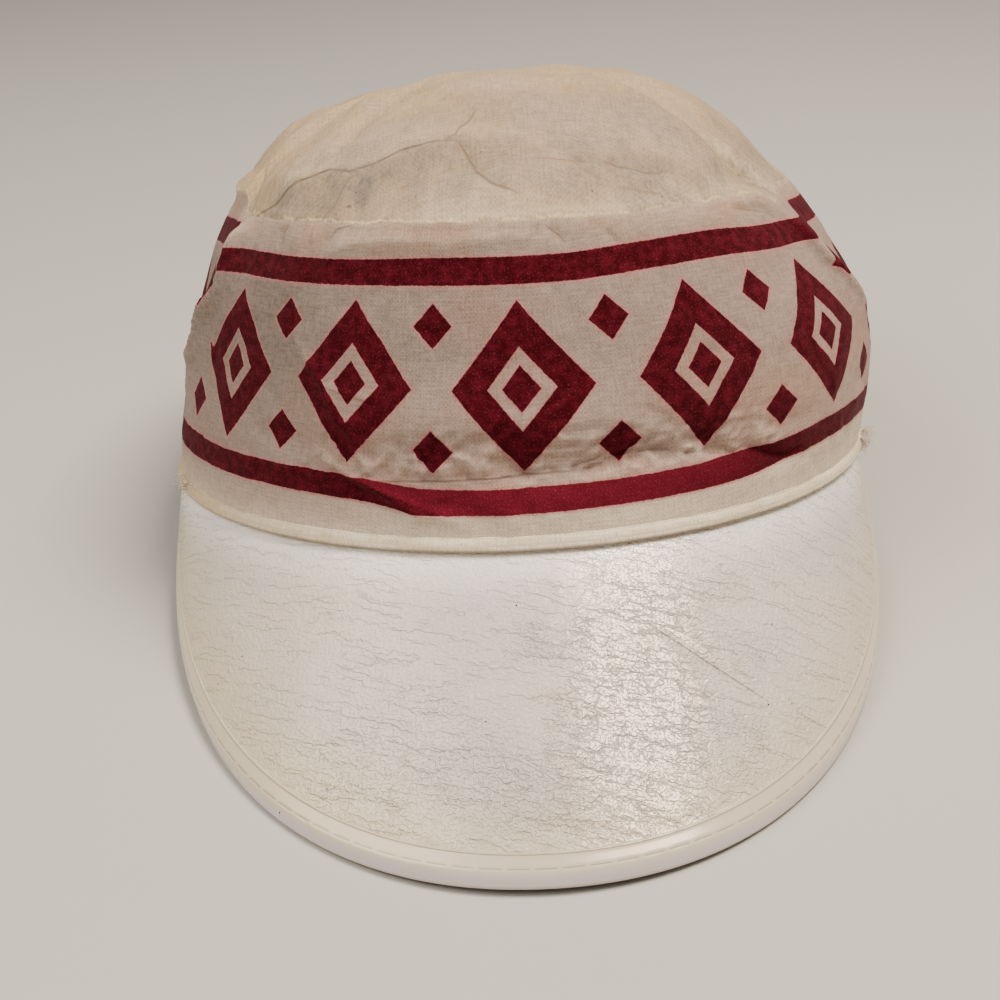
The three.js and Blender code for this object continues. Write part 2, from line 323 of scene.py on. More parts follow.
# Where the peak's grain is strongest, across the peak and down from its top
PEAK_GRAIN = (
    Mark(21, 104, 27, 30, 1), Mark(2, 124, 36, 13, 1),
    Mark(-26, 116, 30, 14, 0.55), Mark(26, 80, 20, 16, 0.7),
)

# A straight crease in the peak, with a dark line of painted shade along it
PEAK_CREASE = (Fold(((22, 87.5), (36, 97), (50, 105.5)), 2.5, 0.8, -0.4, 0.9),)

# Camera: the photograph's view of the cap, in the cap's own frame
LENS = 54
SENSOR = 36
TARGET = (-5.48, -85, 8.38)
DISTANCE = 322.98
AZIMUTH = -0.07
ELEVATION = 17
ROLL = -3.02

# Lights: their power, size, colour, place and aim, in metres
Light = namedtuple("Light", "name energy size colour place aim")
LIGHTS = (
    Light("key", 10.4, 0.42, "#FFF5EA", (0.38, -0.08, 0.95), (0.0, -0.05, 0.05)),
    Light("left", 5.0, 0.7, "#FFFAF5", (-0.62, -0.25, 0.80), (0.0, -0.05, 0.05)),
    Light("fill", 0.9, 1.4, "#FFFAF5", (-0.5, -1.2, 0.9), (0.0, 0.0, 0.05)),
)
SKY_COLOUR = "#EFEBE3"
SKY_STRENGTH = 0.28

# Tufts of loose threads: the angle round from the front, and how many threads
Tuft = namedtuple("Tuft", "name turn threads")
TUFTS = (Tuft("fray_left", -69.0, 40), Tuft("fray_right", 75.0, 150))


def linear(hex_colour, alpha=1.0):
    """An sRGB hex colour as linear red, green, blue and alpha."""
    parts = [int(hex_colour[i:i + 2], 16) / 255 for i in (1, 3, 5)]
    return [c / 12.92 if c <= 0.04045 else ((c + 0.055) / 1.055) ** 2.4 for c in parts] + [alpha]


def mix(a, b, t):
    """From a, where t is 0, to b, where it is 1."""
    return a + (b - a) * t


def unit(vectors):
    """Vectors made one long."""
    return vectors / np.maximum(np.linalg.norm(vectors, axis=-1, keepdims=True), 1e-9)


def signed(turn):
    """An angle as -180 to 180."""
    return (turn + 180) % 360 - 180


def unrolled(turn):
    """Millimetres round the wall at an angle."""
    return np.radians(turn) * MEAN_RADIUS


def on_wall(rows):
    """A table's rows with the angles of their routes as millimetres round the wall."""
    return [row._replace(route=[(unrolled(turn), height) for turn, height in row.route]) for row in rows]


def smooth(low, high, value):
    """Rises smoothly from 0 at low to 1 at high."""
    t = np.clip((value - low) / (high - low), 0, 1)
    return t * t * (3 - 2 * t)


def read(rows, column, value, at):
    """A smooth value read from a table's rows at places along one of its columns."""
    xs = np.array([getattr(row, column) for row in rows], float)
    ys = np.array([getattr(row, value) for row in rows], float)
    i = np.searchsorted(xs[1:-1], at, side="left")
    before = np.maximum(np.arange(len(xs)) - 1, 0)
    after = np.minimum(np.arange(len(xs)) + 1, len(xs) - 1)
    slope = (ys[after] - ys[before]) / (xs[after] - xs[before])
    span = xs[i + 1] - xs[i]
    t = np.clip((at - xs[i]) / span, 0, 1)
    lead = slope[i] * span * t * (1 - t) ** 2
    trail = slope[i + 1] * span * t ** 2 * (1 - t)
    return mix(ys[i], ys[i + 1], t * t * (3 - 2 * t)) + lead - trail


def noise(x, y, spacing, seed):
    """Smooth seeded noise from -1 to 1, with one random value every spacing millimetres."""
    table = np.random.default_rng(seed).uniform(-1, 1, (64, 64))
    u = np.asarray(x) / spacing
    v = np.asarray(y) / spacing
    i = np.floor(u).astype(int)
    j = np.floor(v).astype(int)
    a = smooth(0, 1, u - i)
    b = smooth(0, 1, v - j)
    low = mix(table[i % 64, j % 64], table[(i + 1) % 64, j % 64], a)
    high = mix(table[i % 64, (j + 1) % 64], table[(i + 1) % 64, (j + 1) % 64], a)
    return mix(low, high, b)


def along_route(x, y, route):
    """The gap from each place to a route, the side of it, and how far along it, from 0 to 1."""
    route = np.array(route, float)
    steps = np.diff(route, axis=0)
    lengths = np.hypot(steps[:, 0], steps[:, 1])
    gap = np.full(np.broadcast(x, y).shape, np.inf)
    side = np.zeros(gap.shape)
    place = np.zeros(gap.shape)
    for start, step, length, walked in zip(route, steps, lengths, np.cumsum(lengths) - lengths):
        off_x = x - start[0]
        off_y = y - start[1]
        t = np.clip((off_x * step[0] + off_y * step[1]) / length ** 2, 0, 1)
        gap_x = off_x - t * step[0]
        gap_y = off_y - t * step[1]
        distance = np.hypot(gap_x, gap_y)
        nearer = distance < gap
        gap = np.where(nearer, distance, gap)
        side = np.where(nearer, step[0] * gap_y - step[1] * gap_x, side)
        place = np.where(nearer, (walked + t * length) / lengths.sum(), place)
    return gap, side, place


def wandered(x, y, wander):
    """Places moved about by noise, so that the routes near them stray by that much."""
    return x + wander * noise(x, y, 9, 11), y + wander * noise(x, y, 9, 12)


def ends_taper(place):
    """Falls from 1 to 0 towards both ends of a route."""
    return 1 - np.abs(2 * place - 1) ** 4


def fold_rise(x, y, folds, wander=0.0, tapered=False):
    """The rise that a table of folds gives a sheet. Wander lets routes stray by that much."""
    strayed_x, strayed_y = wandered(x, y, wander)
    total = np.zeros(np.broadcast(x, y).shape)
    for fold in folds:
        gap, side, place = along_route(strayed_x, strayed_y, fold.route)
        width = np.where(side > 0, fold.left, fold.right)
        rounded = np.hypot(gap, 0.25) - 0.25
        shape = mix(np.exp(-(gap / width) ** 2), np.exp(-1.7 * rounded / width), fold.crease)
        if tapered:
            shape = shape * ends_taper(place)
        total += fold.rise * shape
    return total


def traced(x, y, lines, wander):
    """For thin lines that the shader draws: the gap to the nearest one, with the sign of its
    side, scaled to 0 to 1, and how strongly it is drawn."""
    strayed_x, strayed_y = wandered(x, y, wander)
    nearest = np.full(np.broadcast(x, y).shape, np.inf)
    signed_gap = np.zeros(nearest.shape)
    shown = np.zeros(nearest.shape)
    for line in lines:
        gap, side, place = along_route(strayed_x, strayed_y, line.route)
        nearer = gap < nearest
        nearest = np.where(nearer, gap, nearest)
        signed_gap = np.where(nearer, np.copysign(gap, side), signed_gap)
        shown = np.where(nearer, line.amount * ends_taper(place), shown)
    return 0.5 + signed_gap / TRACE_SPAN, shown * (nearest < 1.6)


def crumples(x, y, spacing, seed):
    """Flat patches that meet in sharp creases, about -0.5 on a crease and up to 1 between."""
    one = noise(x, y, spacing, seed)
    other = noise(0.8 * x + 0.6 * y, 0.8 * y - 0.6 * x, spacing * 0.83, seed + 1)
    return 2.6 * np.minimum(np.abs(one), np.abs(other)) - 0.5


def roughness(x, y, rows):
    """The rise that a table of noises gives a sheet."""
    total = 0
    for row in rows:
        pattern = crumples if row.creased else noise
        total = total + row.rise * pattern(x * row.across, y * row.up, row.spacing, row.seed)
    return total


def hollows(relief):
    """How far each place of a grid that closes on itself lies below the places near it."""
    wide = np.pad(np.concatenate([relief[-3:], relief, relief[:3]]), ((0, 0), (4, 4)), mode="edge")
    near = wide[:-6, 4:-4] + wide[6:, 4:-4] + wide[3:-3, :-8] + wide[3:-3, 8:]
    return near / 4 - relief


def ridge_height(turn):
    """The height of the seam. It wavers where the cloth is gathered into it, dips at the right
    corner and rises past the left one."""
    around = unrolled(turn)
    wavering = 0.35 * noise(around, 0, 13, 36) + 0.22 * noise(around, 0, 4.5, 37)
    left_corner = 4.5 * smooth(-60.5, -64, turn) * smooth(-105, -80, turn)
    right_corner = 3.2 * np.exp(-((turn - 58) / 3.5) ** 2)
    height = read(RIDGE, "angle", "height", np.abs(turn))
    return height + wavering + (left_corner - right_corner)


def outline(turn, height, offset):
    """The wall's outline at an angle and height, grown outward by an offset."""
    given = [np.asarray(value, float) for value in (turn, height, offset)]
    turn, height, offset = np.broadcast_arrays(*given)
    s = np.sin(np.radians(turn))
    c = np.cos(np.radians(turn))
    sides = [read(WALL, "height", name, height) for name in ("left", "right", "front", "back")]
    wide = np.where(s < 0, sides[0], sides[1])
    deep = np.where(c > 0, sides[2], sides[3])
    out = np.hypot(s / wide, c / deep)
    x = wide * s + s / wide / out * offset
    y = -deep * c - c / deep / out * offset
    return np.stack([x, y, height], -1)


def peak_sheet(t, along):
    """The peak's upper face and its outward normal: straight rulings from under the hem."""
    start = outline(t * PEAK_HALF_ANGLE, 0, -PEAK_INSET)
    start[..., 2] = -GAP
    reach = PEAK_LENGTH * np.maximum(0, 1 - np.abs(t) ** PEAK_FULLNESS) ** PEAK_ROUNDNESS
    inside = np.clip(t, -0.99, 0.99) * PEAK_HALF_ANGLE
    across = outline(inside + 0.1, 0, 0) - outline(inside - 0.1, 0, 0)
    normal = unit(np.cross(PEAK_RULING, across))
    return start + PEAK_RULING * (reach * along)[..., None], normal, reach


def frame_peak():
    """The peak's corners as the frame has them, to find how the cap is tipped and placed."""
    t = np.sin(np.pi * (np.arange(FRAME_COLUMNS + 1) / FRAME_COLUMNS - 0.5)) * PEAK_CORNER
    along = 1 - (1 - np.arange(FRAME_ROWS + 1) / FRAME_ROWS) ** PEAK_SPACING
    t, along = np.meshgrid(t, along, indexing="ij")
    point, normal, reach = peak_sheet(t, along)
    fall = LIP_FALL * np.maximum(0, 1 - reach * (1 - along) / LIP_WIDTH) ** 2
    outer = point - normal * fall[..., None]
    return np.concatenate([outer.reshape(-1, 3), (outer - normal * PEAK_THICK).reshape(-1, 3)])


FRAME_PEAK = frame_peak()
REST_SLOPE = np.max(-FRAME_PEAK[:, 2] / (REST_LINE - FRAME_PEAK[:, 1]))


def settle(points):
    """The soft back is pushed up by the floor it rests on, less and less above the hem."""
    lift = np.maximum(0, (points[..., 1] - REST_LINE) * REST_SLOPE)
    above = np.maximum(0, points[..., 2] - HEM_HEIGHT)
    points[..., 2] += lift * np.maximum(0, 1 - above / REST_FADE)
    return points


def place_in_world():
    """The turn and shift from the cap's own frame, in millimetres, to the frame's, in metres."""
    turn = Matrix.Rotation(-math.atan(REST_SLOPE), 4, "X")
    turned = FRAME_PEAK @ np.array(turn.to_3x3()).T
    low, high = (np.array(corner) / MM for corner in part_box("bill"))
    shift = [(low[0] + high[0]) / 2, low[1] - turned[:, 1].min(), low[2] - turned[:, 2].min()]
    misfit = high - low - np.ptp(turned, axis=0)
    if np.abs(misfit).max() > 0.1:
        raise RuntimeError(f"the peak isn't the frame's: its box differs by {misfit} mm")
    return Matrix.Scale(MM, 4) @ Matrix.Translation(Vector(shift)) @ turn


TO_WORLD = place_in_world()


# The shader nodes that the materials are made of: Blender's name for each, its settings, the
# inputs that are filled in order, and the output that is used
Kind = namedtuple("Kind", "node settings inputs output")
MATHS = ("ADD", "SUBTRACT", "MULTIPLY", "DIVIDE", "MULTIPLY_ADD", "MINIMUM", "MAXIMUM", "ABSOLUTE",
         "SINE", "PINGPONG")
VECTOR_MATHS = ("ADD", "SUBTRACT", "MULTIPLY")
CARRIED = ("soil", "yellow", "pale", "faded", "side", "shown", "from_seam", "grained", "cracked",
           "warm", "clean", "rim", "from_rim", "along_rim")
FLAT_CELLS = {"voronoi_dimensions": "2D"}
EDGE_CELLS = {"voronoi_dimensions": "2D", "feature": "DISTANCE_TO_EDGE"}
STEP = {"interpolation_type": "SMOOTHSTEP"}
KINDS = {
    "ramp": Kind("ShaderNodeMapRange", STEP, ("Value", "From Min", "From Max", "To Min", "To Max"), 0),
    "blend": Kind("ShaderNodeMix", {"data_type": "RGBA"}, (0, 6, 7), 2),
    "tint": Kind("ShaderNodeMix", {"data_type": "RGBA", "blend_type": "MULTIPLY"}, (0, 6, 7), 2),
    "noise": Kind("ShaderNodeTexNoise", {"noise_dimensions": "2D"}, ("Vector", "Scale", "Detail"), 0),
    "solid noise": Kind("ShaderNodeTexNoise", {}, ("Vector", "Scale", "Detail"), 0),
    "spots": Kind("ShaderNodeTexVoronoi", FLAT_CELLS, ("Vector", "Scale"), 0),
    "cell edges": Kind("ShaderNodeTexVoronoi", EDGE_CELLS, ("Vector", "Scale"), "Distance"),
    "split": Kind("ShaderNodeSeparateXYZ", {}, (0,), 0),
    "join": Kind("ShaderNodeCombineXYZ", {}, (0, 1, 2), 0),
    "bump": Kind("ShaderNodeBump", {}, ("Height", "Strength", "Distance"), 0),
    "surface": Kind("ShaderNodeUVMap", {"uv_map": "millimetres"}, (), 0),
    "solid": Kind("ShaderNodeTexCoord", {}, (), "Object"),
}
for operation in MATHS:
    KINDS[operation.lower()] = Kind("ShaderNodeMath", {"operation": operation}, (0, 1, 2), 0)
for operation in VECTOR_MATHS:
    KINDS["vector " + operation.lower()] = Kind("ShaderNodeVectorMath", {"operation": operation}, (0, 1), 0)
for value in CARRIED:
    KINDS[value] = Kind("ShaderNodeAttribute", {"attribute_name": value}, (), "Fac")


def fill(node, values):
    """Fills a node's inputs with values or links."""
    for key, value in values.items():
        if isinstance(value, bpy.types.NodeSocket):
            node.id_data.links.new(value, node.inputs[key])
        else:
            node.inputs[key].default_value = value


def add_node(tree, kind, *values, output=None):
    """Adds a node with its settings, fills its inputs in order, and gives one of its outputs."""
    known = KINDS[kind]
    node = tree.nodes.new(known.node)
    for name, value in known.settings.items():
        setattr(node, name, value)
    fill(node, dict(zip(known.inputs, values)))
    return node.outputs[known.output if output is None else output]


def start_material(name):
    """A material, the function that adds its nodes, its surface millimetres, and its shader."""
    material = bpy.data.materials.new(name)
    material.use_nodes = True
    node = partial(add_node, material.node_tree)
    return material, node, node("surface"), material.node_tree.nodes["Principled BSDF"]


def layered(node, colour, *layers):
    """A colour with others laid over it, each by its own amount."""
    for amount, over in layers:
        colour = node("blend", amount, colour, over)
    return colour


def scaled(node, vector, wide, tall):
    """Surface millimetres turned into repeats of a pattern that is wide by tall millimetres."""
    return node("vector multiply", vector, (1 / wide, 1 / tall, 1))


def grain(node, vector, wide, tall, detail=2.0, output=0):
    """Noise with features about that many millimetres wide and tall."""
    return node("noise", scaled(node, vector, wide, tall), 1.0, detail, output=output)


def strayed(node, vector, wide, amount):
    """Surface millimetres moved about by noise, so that a pattern's lines wander."""
    centred = node("vector subtract", grain(node, vector, wide, wide, 3.0, output=1), (0.5, 0.5, 0.5))
    return node("vector add", vector, node("vector multiply", centred, (amount, amount, 0)))


def specks(node, place, spacing, size):
    """Round specks about a spacing apart, 1 inside one."""
    return node("ramp", node("spots", scaled(node, place, spacing, spacing), 1.0), size[0], size[1])


def traced_line(node, width):
    """A thin line along the routes that the mesh carries, 1 in its middle."""
    gap = node("multiply_add", node("side"), TRACE_SPAN, -TRACE_SPAN / 2)
    return node("multiply", node("ramp", node("absolute", gap), width, 0.0), node("shown"))


def plain_weave(node, place, pitch):
    """Threads going over and under, as a height from 0 to 1 with slubs where a thread is thick."""
    loose = strayed(node, place, 5.0, 0.35)
    parts = node("split", loose).node.outputs[:2]
    over = node("multiply", *(node("sine", node("multiply", part, math.pi / pitch)) for part in parts))
    slub = node("add", grain(node, loose, 4.0, pitch), grain(node, loose, pitch, 4.0))
    threads = node("multiply_add", over, 0.08, node("multiply", slub, 0.42))
    return node("multiply_add", grain(node, place, 0.5, 0.5, 3.0), 0.4, threads)


def speckled_soil_and_shade(node, place, least, speckled):
    """The grime and painted shade that the mesh carries, broken up into the fine speckle of handled cloth.
    """
    speckle = node("ramp", grain(node, place, 1.6, 1.3, 4.0), 0.42, 0.72)
    return node("multiply", node("soil"), node("multiply_add", speckle, speckled, least))


def finish_cotton(node, shader, colour, weave, colours, sizes):
    """Cotton's dull finish with a faint sheen from its fibre ends."""
    shade = node("ramp", weave, 0.35, 0.85, 0.8, 0.0)
    fill(shader, {
        "Base Color": node("tint", shade, colour, colours.thread_shadow),
        "Normal": node("bump", weave, 0.6, sizes.thread * 0.4),
        "Roughness": 0.9,
        "Specular IOR Level": 0.12,
        "Sheen Weight": 0.06,
        "Sheen Roughness": 0.45,
    })


def aged_cotton(sizes, colours):
    """Thin plain-woven cotton, unbleached and aged: cream, yellower in patches and greyed by
    handling, with painted shade in its hollows and creases and painted highlights on its ridges.
    The eye sees a dull surface with a fine uneven weave."""
    material, node, place, shader = start_material("aged_plain_woven_cotton")
    patches = node("ramp", grain(node, place, 24.0, 17.0, 4.0), 0.35, 0.7)
    soil = speckled_soil_and_shade(node, place, 0.62, 0.4)
    line = traced_line(node, 0.4)
    uneven = node("ramp", grain(node, place, 3.0, 3.0), 0.3, 0.65, 0.55, 1.0)
    ragged = node("multiply_add", grain(node, place, 1.7, 1.7, 3.0), -1.1, 0.2)
    off_seam = node("absolute", node("multiply_add", node("from_seam"), SEAM_SPAN, ragged))
    worn = node("ramp", grain(node, place, 5.0, 5.0), 0.35, 0.6, 0.1, 0.7)
    # Pale holds painted highlights; the grey layer holds grime, painted shade and the dark crease lines,
    # also painted shade
    colour = layered(
        node, colours.cotton,
        (patches, colours.cotton_warm),
        (node("yellow"), colours.cotton_yellow),
        (node("pale"), colours.cotton_pale_and_lit),
        (node("maximum", soil, node("multiply", line, uneven)), colours.soil),
        (node("multiply", node("ramp", off_seam, 0.42, 0.05), worn), colours.cotton_worn),
        (node("multiply", specks(node, place, 9.0, (0.02, 0.012)), node("ramp", soil, 0.1, 0.4, 0.0, 0.8)),
         colours.speck),
    )
    weave = node("subtract", plain_weave(node, place, sizes.thread / MM), line)
    finish_cotton(node, shader, colour, weave, colours, sizes)
    return material


def rolled_cotton(sizes, colours):
    """The same cotton folded over and rolled, yellower where hands and skin have touched it."""
    material, node, place, shader = start_material("rolled_cotton")
    # Pale is a painted highlight on the folded edge and the loose threads' own pale colour; the grey layer
    # is grime and painted shade
    colour = layered(
        node, colours.hem,
        (node("ramp", grain(node, place, 20.0, 3.0, 4.0), 0.35, 0.7), colours.hem_yellow),
        (node("yellow"), colours.cotton_yellow),
        (node("pale"), colours.hem_pale_and_lit),
        (node("soil"), colours.soil),
    )
    finish_cotton(node, shader, colour, plain_weave(node, place, sizes.thread / MM), colours, sizes)
    return material


def lozenge(node, across, up, wide, tall):
    """Millimetres from a lozenge's edge, less than nothing inside it."""
    reach = node("add", node("divide", across, wide), node("divide", up, tall))
    return node("multiply", node("subtract", reach, 1.0), wide * tall / math.hypot(wide, tall))


def printed_distance(node, place, sizes):
    """Millimetres from the edge of the printing: two stripes and a row of plain lozenges."""
    along, up = node("split", strayed(node, place, 1.2, 0.34)).node.outputs[:2]
    half = sizes.stripe / MM / 2
    middles = (LOWER_STRIPE + half, UPPER_STRIPE + half)
    shapes = [node("subtract", node("absolute", node("subtract", up, middle)), half) for middle in middles]
    pitch = 2 * math.pi * MEAN_RADIUS / sizes.lozenges
    wide = sizes.lozenge_width / MM / 2
    tall = sizes.lozenge_height / MM / 2
    repeat = node("pingpong", node("add", along, 1000 * pitch), pitch / 2)
    from_middle = node("absolute", node("subtract", up, sum(middles) / 2))
    large = lozenge(node, repeat, from_middle, wide, tall)
    hollow = node("add", large, sizes.lozenge_stroke / MM)
    shapes.append(node("maximum", large, node("multiply", hollow, -1.0)))
    shapes.append(lozenge(node, repeat, from_middle, wide * KERNEL, tall * KERNEL))
    between = node("subtract", pitch / 2, repeat)
    off_row = node("absolute", node("subtract", from_middle, tall * SMALL_ROW))
    shapes.append(lozenge(node, between, off_row, wide * SMALL_WIDE, tall * SMALL_TALL))
    return reduce(partial(node, "minimum"), shapes)


def printed_cotton(sizes, colours):
    """The same cotton, screen printed: flat dark red ink that sinks between the threads, so its
    edges are a little ragged, its body is mottled, and the cloth by it is tinged pink."""
    material, node, place, shader = start_material("screen_printed_cotton")
    line = traced_line(node, 0.4)
    distance = printed_distance(node, place, sizes)
    mottle = node("ramp", grain(node, place, 2.6, 2.2, 6.0), 0.3, 0.75, 0.0, 0.5)
    bare = node("ramp", grain(node, place, 0.45, 0.4), 0.55, 0.8, 0.0, 0.14)
    # The lighter ink is its mottle, plus painted light past the lower stripe's tuck
    ink = layered(
        node, colours.ink,
        (node("maximum", mottle, node("faded")), colours.ink_thin_and_lit),
        (bare, colours.ink_bleed),
    )
    # Pale holds painted highlights on the ridges and painted light low on the wall; the grey layer holds
    # grime, painted shade and the dark crease lines, also painted shade
    colour = layered(
        node, colours.band,
        (node("ramp", grain(node, place, 26.0, 18.0, 4.0), 0.35, 0.7), colours.band_pink),
        (node("yellow"), colours.cotton_yellow),
        (node("pale"), colours.band_pale_and_lit),
        (node("maximum", speckled_soil_and_shade(node, place, 0.7, 0.22), line), colours.soil),
        (node("ramp", distance, 0.9, 0.05, 0.0, 0.65), colours.ink_bleed),
        (node("ramp", distance, 0.1, -0.12), ink),
    )
    weave = node("subtract", plain_weave(node, place, sizes.thread / MM), line)
    finish_cotton(node, shader, colour, weave, colours, sizes)
    return material


def branch_lines(node, place, wide, tall, width):
    """Branching lines between cells of that size, 1 on the line and 0 a little way off it."""
    edges = node("cell edges", scaled(node, place, wide, tall), 1.0)
    return node("ramp", edges, 0.0, width, 1.0, 0.0)


def slanted(node, place):
    """Peak millimetres along and across the grain, which runs down to the right, more on the left."""
    across, down = node("split", place).node.outputs[:2]
    slant = node("multiply", across, node("multiply_add", across, 0.0012, -0.28))
    return node("join", across, node("add", down, slant))


def wavy_lines(node, place, length, spacing, width):
    """Long lines that wander along the grain about a spacing apart, 1 on the line."""
    field = node("divide", node("split", place, output=1), spacing)
    waves = ((length, spacing * 2.4, 2.0), (length * 0.25, spacing * 0.7, 0.8), (1.3, 0.9, 0.42))
    for wide, tall, amount in waves:
        field = node("multiply_add", grain(node, place, wide, tall, 1.0), amount, field)
    return node("ramp", node("pingpong", field, 0.5), 0.0, width / spacing, 1.0, 0.0)


def vinyl_cracks(node, place, sizes):
    """The grain's lines: long wandering ones in two sizes, and a branching net where it is
    strongest."""
    length = sizes.grain_length / MM
    height = sizes.grain_height / MM
    along = slanted(node, place)
    drawn = []
    for spacing, width, share, strength in ((height, 0.27, 0.47, 1.0), (height * 0.6, 0.22, 0.5, 0.7)):
        shown = node("ramp", grain(node, along, length * 0.8, spacing * 0.9), share - 0.03, share + 0.1)
        lines = wavy_lines(node, along, length * spacing / height, spacing, width)
        drawn.append(node("multiply", node("multiply", lines, shown), strength))
    lines = node("multiply", node("maximum", *drawn), node("multiply_add", node("cracked"), 0.45, 0.5))
    network = branch_lines(node, strayed(node, along, 2.4, 2.4), length * 0.3, height * 0.8, 0.06)
    network = node("multiply", network, node("ramp", node("cracked"), 0.5, 1.0, 0.0, 0.6))
    shown = node("ramp", grain(node, place, 5.0, 3.4, 3.0), 0.4, 0.54)
    return node("maximum", lines, node("multiply", network, shown))


def false_stitches(node, from_rim, sizes):
    """The moulded dashes that stand for a line of stitches, 1 in the middle of a dash."""
    off_stitch = node("absolute", node("subtract", from_rim, sizes.stitch_inset / MM))
    half = sizes.stitch / MM / 2
    along = node("multiply", node("along_rim"), RIM_LENGTH)
    place_in_dash = node("pingpong", along, half + sizes.stitch_gap / MM / 2)
    dash = node("ramp", place_in_dash, half + 0.15, half - 0.15)
    return node("multiply", dash, node("ramp", off_stitch, 0.2, 0.04, 0.0, 0.6))


def moulded_vinyl(sizes, colours):
    """White vinyl moulded against a leather-grained plate: half gloss, with wandering fine
    cracks that run across the peak, a pebble between them, and a smooth rolled rim."""
    material, node, place, shader = start_material("moulded_white_vinyl")
    lines = vinyl_cracks(node, place, sizes)
    pebble = node("ramp", grain(node, place, 0.95, 0.8, 1.0), 0.42, 0.56)
    pebble = node("multiply", pebble, node("multiply_add", node("cracked"), 0.75, 0.12))
    relief = node("multiply", node("multiply_add", lines, -1.0, pebble), node("grained"))
    crease = traced_line(node, 0.3)
    from_rim = node("multiply", node("from_rim"), RIM_SPAN)
    off_line = node("absolute", node("subtract", from_rim, sizes.rim_width / MM))
    raised = node("subtract", node("ramp", off_line, 0.35, 0.05, 0.0, 0.6), crease)
    # Grime in the grain's lines, and a dark line of painted shade along the straight crease
    dirt_and_crease_shade = node("multiply", node("multiply", lines, node("grained")), 0.11)
    dirt_and_crease_shade = node("maximum", dirt_and_crease_shade, node("multiply", crease, 0.3))
    colour = layered(
        node, colours.peak,
        (node("ramp", grain(node, place, 45.0, 30.0, 3.0), 0.35, 0.7), colours.peak_cool),
        (node("warm"), colours.peak_warm),
        # Painted light: the strip beside the hem is drawn lighter against the hem's shadow
        (node("clean"), colours.peak_painted_light),
        (node("rim"), colours.peak_rim),
        (node("maximum", dirt_and_crease_shade, false_stitches(node, from_rim, sizes)), colours.peak_crack_and_shade),
        (specks(node, place, 34.0, (0.0065, 0.005)), colours.speck),
    )
    fill(shader, {
        "Base Color": colour,
        "Normal": node("bump", node("add", relief, raised), 1.0, sizes.grain_depth),
        "Roughness": 0.2,
        "Specular IOR Level": 0.85,
        "Specular Tint": linear("#FFEBD8"),
        "Subsurface Weight": 0.08,
        "Subsurface Scale": 0.002,
    })
    return material


def painted_board(colours):
    """A smooth matt painted board, very slightly uneven in tone."""
    material, node, _, shader = start_material("matt_painted_board")
    darker = [0.94 * c for c in colours.floor[:3]] + [1.0]
    tone = node("solid noise", node("solid"), 3.0, 2.0)
    fill(shader, {"Base Color": node("blend", tone, colours.floor, darker), "Roughness": 0.9})
    return material


def add_object(name, data):
    """An object in the scene for a mesh, a light or a camera."""
    thing = bpy.data.objects.new(name, data)
    bpy.context.scene.collection.objects.link(thing)
    return thing


def make_mesh(name, points, faces, places, values):
    """A smooth mesh from points in the cap's own frame, with the place of each corner in a map
    in millimetres, and values from 0 to 1 that it carries at its points."""
    mesh = bpy.data.meshes.new(name)
    matrix = np.array(TO_WORLD)
    world = points @ matrix[:3, :3].T + matrix[:3, 3]
    mesh.from_pydata(world.tolist(), [], faces)
    mesh.polygons.foreach_set("use_smooth", np.ones(len(mesh.polygons), bool))
    layer = mesh.uv_layers.new(name="millimetres")
    layer.uv.foreach_set("vector", places.astype(np.float32).ravel())
    for key, amounts in values.items():
        attribute = mesh.attributes.new(key, "FLOAT", "POINT")
        attribute.data.foreach_set("value", np.clip(amounts, 0, 1).astype(np.float32).ravel())
    return mesh


def grid_faces(columns, rows, closed):
    """Quads over a grid whose rows close on themselves, and whose columns may. Also the place of
    each corner in a map that has one more column than a closed grid."""
    column = np.arange(columns if closed else columns - 1)[:, None]
    row = np.arange(rows)[None, :]
    up = (row + 1) % rows
    nearby = [(column, row), (column + 1, row), (column + 1, up), (column, up)]
    # The columns of the open grid, the peak's, run the other way round
    if not closed:
        nearby.reverse()
    faces = np.stack([(c % columns) * rows + r + 0 * row for c, r in nearby], -1)
    corners = np.stack([c * rows + r + 0 * row for c, r in nearby], -1)
    return faces.reshape(-1, 4), corners.reshape(-1, 4)


def make_piece(name, points, uv, shown, looks, closed=True):
    """A piece from a grid of points. Its first rows are the face that shows. Each look is the
    values that this face carries, and the one value that the hidden rows carry."""
    columns, rows = points.shape[:2]
    values = {}
    for key, (face, hidden) in looks.items():
        values[key] = np.full((columns, rows), float(hidden))
        values[key][:, :shown] = face
    faces, corners = grid_faces(columns, rows, closed)
    places = uv.reshape(-1, 2)[corners.ravel()]
    mesh = make_mesh(name, points.reshape(-1, 3), faces.tolist(), places, values)
    mesh.validate()
    shape = bmesh.new()
    shape.from_mesh(mesh)
    bmesh.ops.remove_doubles(shape, verts=shape.verts, dist=MERGE)
    bmesh.ops.dissolve_degenerate(shape, edges=shape.edges, dist=MERGE / 100)
    open_edges = [edge for edge in shape.edges if edge.is_boundary]
    bmesh.ops.holes_fill(shape, edges=open_edges, sides=0)
    shape.to_mesh(mesh)
    shape.free()
    mesh.set_sharp_from_angle(angle=math.radians(SHARP))
    return add_object(name, mesh)


def finish_piece(piece, material, node=None):
    """Gives a piece its look and its body, and hides the frame's node that it stands for."""
    piece.data.materials.append(material)
    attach(piece, BODY)
    if node:
        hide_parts(node)


def marks_at(x, y, marks):
    """How strongly a table of marks colours each place."""
    ragged = 0.45 * noise(x, y, 5, 61) + 0.25 * noise(x, y, 1.8, 62)
    amounts = []
    for mark in marks:
        off_middle = np.hypot((x - mark.x) / mark.wide, (y - mark.y) / mark.deep)
        amounts.append(mark.amount * smooth(1.35, 0.3, off_middle + ragged))
    return np.max(amounts, axis=0)


